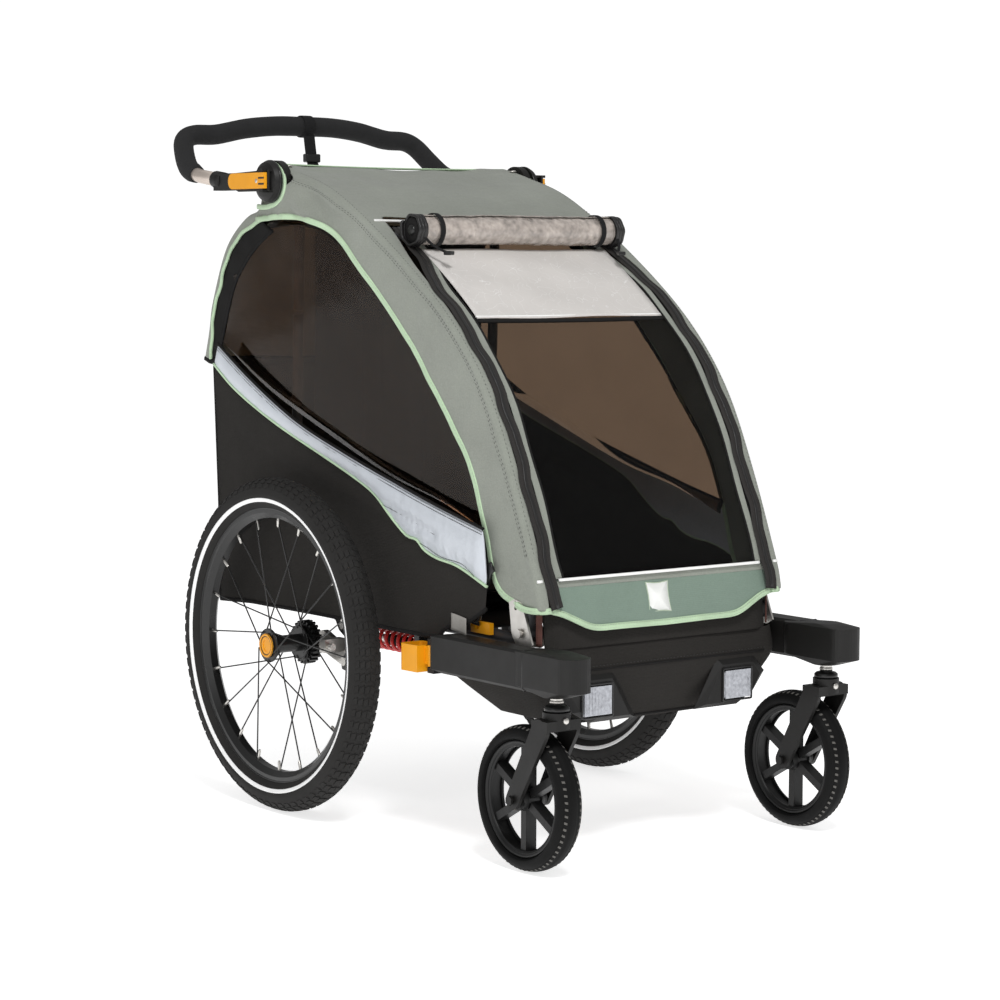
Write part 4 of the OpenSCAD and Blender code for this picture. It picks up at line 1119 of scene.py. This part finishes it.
def build_caster(side, s):
    centre = (CASTER_X * s, CASTER_Y, CASTER_R)
    profile = [(80, -13), (82, -16.5)]
    for k in range(33):
        a = math.radians(-106 + 212 * k / 32)
        groove = 0.9 if abs(abs(math.degrees(a)) - 22) < 4 or abs(abs(math.degrees(a)) - 48) < 3 else 0
        profile.append((86 + (14 - groove) * math.cos(a), (20 - groove) * math.sin(a)))
    profile += [(82, 16.5), (80, 13)]
    tyre = lathe("caster_tread_" + side, profile, centre, CASTER_RUBBER, "caster_" + side,
                 n=112)
    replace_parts(tyre, "caster_tyre_" + side)
    verts, faces = [], []
    for k in range(66):
        for sign in (-1, 1):
            first = len(verts)
            for degrees, shift in ((30, 0), (44, sign * 0.012)):
                a = math.radians(degrees) * sign
                r = 86 + 14.2 * math.cos(a)
                for du in (-1, 1):
                    t = 2 * math.pi * (k + (0.25 if sign > 0 else 0)) / 66 + du * 1.6 / 100 + shift
                    verts.append((centre[0] + 20.2 * math.sin(a), centre[1] + r * math.cos(t),
                                  centre[2] + r * math.sin(t)))
            faces.append((first, first + 1, first + 3, first + 2))
    thicken(make("caster_lines_" + side, verts, faces, RIB, "caster_" + side), 0.5)
    step = [(80.5, 13.4), (78.5, 15.2), (75.6, 15.0), (74.6, 12.6), (71.4, 12.2), (70.6, 9.0), (73, 8.4)]
    hub = [(9, 20.4), (12.5, 20.2), (14.8, 18.4), (16, 12), (17, 9)]
    for name, sign in (("outer", 1), ("inner", -1)):
        for part, half, n in (("rim", step, 96), ("hub", hub, 64)):
            lathe(f"caster_{part}_step_{name}_{side}", [(r, sign * x) for r, x in half], centre, RIM_PLASTIC,
                  "caster_" + side, n=n)


def build_fork_trim(side, s):
    x, y = CASTER_X * s, -471
    trims = (("collar", [(0.1, 0), (15, 0), (17, 1.5), (17, 6), (14, 8.5), (9, 9.5), (9, 13), (0.1, 13)],
              GLOSS_BLACK, 48, (x, y, 226), "Y"),
             ("stem", [(8.6, 0), (8.6, 2), (7.6, 3), (7.6, 6), (8.4, 7), (8.4, 9)],
              SILVER, 40, (x, y, 238), "Y"),
             ("bolt", [(0.1, 0), (4.4, 0), (4.4, 2.4), (3.4, 3.4), (0.1, 3.4)],
              SILVER, 24, (x, y - 18.5, 216), "Z"))
    for name, profile, mat, n, place, axis in trims:
        piece = lathe(f"fork_{name}_{side}", profile, (0, 0, 0), mat, n=n, closed=False)
        stand(piece, place, -90, axis)
        if name == "stem":
            thicken(piece, 1.0, 1.0)
        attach(piece, "swivel_" + side)

SPRING_X, SPRING_Z = 216, 271

# ---- springs, then the front trims: arm seams, corner straps, care labels and reflector lenses ----
def build_spring(side, s):
    turns, n = 10.0, 240
    path = []
    for k in range(n + 1):
        f = k / n
        ease = 0.5 - 0.5 * math.cos(math.pi * f)
        y = -118.5 + 140 * (0.86 * f + 0.14 * ease)
        a = 2 * math.pi * turns * f
        path.append(Vector((s * (SPRING_X + 13.8 * math.cos(a)), y, SPRING_Z + 13.8 * math.sin(a))))
    centre_out = [Vector((p.x - s * SPRING_X, 0, p.z - SPRING_Z)).normalized() for p in path]
    coil = strap("coil_spring_" + side, path, centre_out, 5.4, 5.4, SPRING_RED, None, 10, 1.0)
    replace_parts(coil, "spring_" + side)
    for k, (y0, y1, r, mat) in enumerate(((-112, -40, 8.0, BLACK_CLOTH), (-46, 19, 6.2, SILVER))):
        profile = [(0.1, 0), (r, 0), (r, y1 - y0), (0.1, y1 - y0)]
        core = lathe(f"spring_core_{side}_{k}", profile, (0, 0, 0), mat, n=32, closed=False)
        core.data.transform(Matrix.Translation(Vector((s * SPRING_X, y0, SPRING_Z)) * MM)
                            @ Matrix.Rotation(math.radians(90), 4, "Z"))
        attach(core, "base")
        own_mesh(core)
    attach(coil, "base")
    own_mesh(coil)


ARM_X = 252
LENS_Y = -412.0


def build_front_details(side, s):
    outline = [(-19.6, 254), (-19.6, 300), (-16, 304.4), (16, 304.4), (19.6, 300), (19.6, 254), (16, 249.6),
               (-16, 249.6), (-19.6, 254)]
    seam = [Vector((ARM_X * s + px, -427, pz)) for px, pz in outline]
    strap("arm_seam_" + side, seam, (0, 1, 0), 0.9, 1.6, GLOSS_BLACK, "base")
    out = (s, 0, 0)
    run = smooth([(s * 226.5, -262, 318), (s * 228.5, -264, 330), (s * 230, -275, 352), (s * 231, -290, 378),
                  (s * 231.5, -300, 396)])
    strap("corner_strap_" + side, run, out, 19, 2.2, WEBBING, "base")
    hook = smooth([(s * 232.5, -286, 372), (s * 233, -295, 386), (s * 233, -303, 399), (s * 232, -309, 404)])
    strap("corner_hook_" + side, hook, out, 16, 4.0, GLOSS_BLACK, "base")
    buckle = ring_path(s * 229.5, -266, 334, 11, range(0, 361, 15))
    strap("strap_buckle_" + side, buckle, out, 3, 5, GLOSS_BLACK, "base")
    rows = [[Vector((s * (242.0 + 0.8 * math.sin(y / 9)), y, z + 0.12 * y)) for z in range(335, 363, 4)]
            for y in range(-262, -225, 4)]
    thicken(grid("care_label_" + side, rows, LABEL, "base"), 0.6)
    for k in range(9):
        x = s * (106 + 5.6 * k)
        rib = [(x - 2.6, LENS_Y + 0.3), (x, LENS_Y - 2.3), (x + 2.6, LENS_Y + 0.3)]
        slab(f"lens_rib_{side}_{k}", rib, 203, 239, 2, LENS, "base", round_off=0)
    rim = [Vector((px, LENS_Y, pz)) for px, pz in box_outline(s * 102, s * 156, 198, 244)]
    strap("lens_bezel_" + side, resample(rim + [rim[0]], 60), (0, -1, 0), 3, 3, GLOSS_BLACK, "base")


# ---- push bar ----
BAR_HALF = 250
BAR_Y, BAR_Z = 515, 1039


def build_push_bar():
    half = [(-BAR_HALF, 432, 951.9), (-247, 470, 964), (-238, 500, 988), (-226, 520, 1010), (-205, 525, 1020),
            (-165, 524.5, 1022), (-110, 521, 1033), (-55, 517, 1038.5), (0, BAR_Y, BAR_Z)]
    line = smooth(half, 6)
    whole = line + [Vector((-p.x, p.y, p.z)) for p in line[-2::-1]]
    up = (0, -0.45, 0.9)
    bare = [Vector((-BAR_HALF, 377.5, 945))] + whole + [Vector((BAR_HALF, 377.5, 945))]
    pipe = tube("bar_tube", bare, 10.9, TUBE_SILVER, "push_bar", 24, up=up)
    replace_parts(pipe, "handle_tube")
    cut = [p for p in whole if p.y > 442 or abs(p.x) < 240]
    total, sides = len(cut), 28
    verts = []
    for i, (p, _, across, n) in enumerate(frames_along(cut, up)):
        end = min(i, total - 1 - i)
        r = 16 * min(1.0, 0.86 + 0.07 * end) + 0.25 * rough_field(p.x, p.y, p.z, 30, 1)
        verts += [p + (across * math.cos(a) + n * math.sin(a)) * r for a in steps(0, 2 * math.pi, sides)[:-1]]
    foam = make("bar_foam", verts, rod_faces(total, sides), FOAM, "push_bar")
    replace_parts(foam, "handle_grip")
    loop = ring_path(0, BAR_Y, BAR_Z, 17.4, range(-130, 231, 12))
    strap("strap_loop", loop, away_from(loop, BAR_Y, BAR_Z), 22, 1.8, WEBBING, "push_bar")
    fall = smooth([(0, 503, 1024), (0, 499, 1003), (0, 492, 978), (0, 466, 940), (0, 430, 905),
                   (0, 400, 868)])
    web = strap("bar_strap", fall, (0, -0.4, 0.9), 22, 1.8, WEBBING, None)
    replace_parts(web, "grip_strap")
    slider = slab("strap_slider", box_outline(-14, 14, 489, 501), 980, 994, 2, GLOSS_BLACK, None, round_off=2)
    for part in (web, slider):
        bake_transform(part)
    for side, s in SIDES.items():
        build_bar_end(side, s)


def build_bar_end(side, s):
    sleeve = [Vector((s * BAR_HALF, y, 945 + (y - 377) * 0.125)) for y in (360, 372, 379, 383)]
    tube("socket_sleeve_" + side, sleeve, 13.5, PLASTIC, "push_bar", up=(1, 0, 0))
    surround = [(214, 925), (300, 925), (309, 928), (314, 934), (315, 941), (313, 948), (307, 954),
                (214, 957)]
    slab("lever_surround_" + side, surround, s * 258.5, s * 262.8, 0, PLASTIC, "push_bar", round_off=1.4)
    for k, z in enumerate((934.5, 943.5)):
        slab(f"lever_slot_{side}_{k}", box_outline(216.5, 232, z, z + 2.7), s * 268.3, s * 268.9, 0,
             GLOSS_BLACK, "bar_lever_" + side, round_off=0.2)
    pin = [(0.1, s * 269.2), (2.2, s * 269.2), (3.2, s * 268.8), (3.4, s * 268.2)]
    lathe("lever_pin_" + side, pin, (0, 238, 940.5), SILVER, "bar_lever_" + side, n=24, closed=False)
    dome = [(30.6, s * 244.6), (32.6, s * 243.4), (32.6, s * 240.4), (30.6, s * 240.4)]
    lathe("dome_ring_" + side, dome, (0, *HUB), GLOSS_BLACK, "push_bar", n=72)


for name, sign in SIDES.items():
    build_tyre(name, sign)
    build_caster(name, sign)
    build_fork_trim(name, sign)
    build_spring(name, sign)
    build_front_details(name, sign)
build_push_bar()

# ---- finishes of the CAD nodes that stay ----
FINISHES = (
    (FRAME_GREY, 0.0, ("base_frame", "roll_cage", "rear_uprights")),
    (SILVER, 0.6, ("frame_plates", "swing_arm_left", "swing_arm_right")),
    (SILVER, 0.5, ("frame_bolts", "brake_pawl_left", "brake_pawl_right")),
    (PLASTIC, 1.6, ("stroller_arm_left", "stroller_arm_right", "fork_left", "fork_right", "handle_sockets",
                    "reflector_housings", "brake_pedal", "hub_plates")),
    (GLOSS_BLACK, 0.8, ("suspension_brackets", "rim_left", "rim_right", "hub_left", "hub_right")),
    (GLOSS_BLACK, 0.0, ("spokes_left", "spokes_right")),
    (RIM_PLASTIC, 1.0, ("caster_rim_left", "caster_rim_right")),
    (ORANGE, 1.0, ("arm_lever_left", "arm_lever_right", "handle_lever_left", "handle_lever_right",
                   "strap_anchors", "axle_button_left", "axle_button_right")),
    (LENS, 0.6, ("reflector_lenses",)),
)
for mat, round_off, names in FINISHES:
    for name in names:
        CAD[name].data.materials.clear()
        CAD[name].data.materials.append(mat)
        if round_off:
            bevel(CAD[name], round_off, 2, 28)

# ---- floor, light and camera ----
half, low = 30, -0.0005
ground = bpy.data.meshes.new("ground")
ground.from_pydata([(x, y, low) for x, y in box_outline(-half, half, -half, half)], [], [(0, 1, 2, 3)])
floor = bpy.data.objects.new("ground", ground)
scene.collection.objects.link(floor)
GROUND = material("pale_floor", srgb(250, 250, 250), 0.9, 0.01, 400, Emission_Strength=0.7)
ground.materials.append(GROUND)

world = bpy.data.worlds.new("studio")
scene.world = world
world.use_nodes = True
SEEN, FELT = 1.05, 0.36
sky = world.node_tree.nodes["Background"]
sky.inputs["Color"].default_value = (1, 1, 1, 1)
rays = add_node(world.node_tree, "ShaderNodeLightPath").outputs
direct = add_node(world.node_tree, "ShaderNodeMath",
                  {0: rays["Is Camera Ray"], 1: rays["Is Transmission Ray"]}, operation="MAXIMUM").outputs[0]
level = add_node(world.node_tree, "ShaderNodeMapRange", {"Value": direct, "To Min": FELT, "To Max": SEEN})
world.node_tree.links.new(level.outputs[0], sky.inputs["Strength"])


def area_light(name, place, aim, power, size):
    light = bpy.data.lights.new(name, "AREA")
    light.energy, light.size = power, size
    obj = bpy.data.objects.new(name, light)
    obj.location = place
    obj.rotation_euler = (Vector(aim) - Vector(place)).to_track_quat("-Z", "Y").to_euler()
    scene.collection.objects.link(obj)


area_light("key", (-1.3, -2.6, 3.6), (0, 0, 0.4), 84, 0.9)
area_light("fill", (-3.4, -1.4, 1.0), (0, 0, 0.5), 12, 2.0)
area_light("top", (0.2, 0.6, 3.6), (0, 0, 0.4), 6, 2.6)

camera = bpy.data.cameras.new("camera")
camera.sensor_width, camera.lens = 36, 97.89
eye = bpy.data.objects.new("camera", camera)
scene.collection.objects.link(eye)
eye.location = (-2.468, -3.275, 0.835)
look = Vector((0.053, 0.051, 0.454)) - eye.location
eye.rotation_mode = "QUATERNION"
level_turn = Matrix.Rotation(math.radians(0.155), 3, "Z").to_quaternion()
eye.rotation_quaternion = look.to_track_quat("-Z", "Y") @ level_turn
scene.camera = eye
scene.view_settings.view_transform = "Standard"
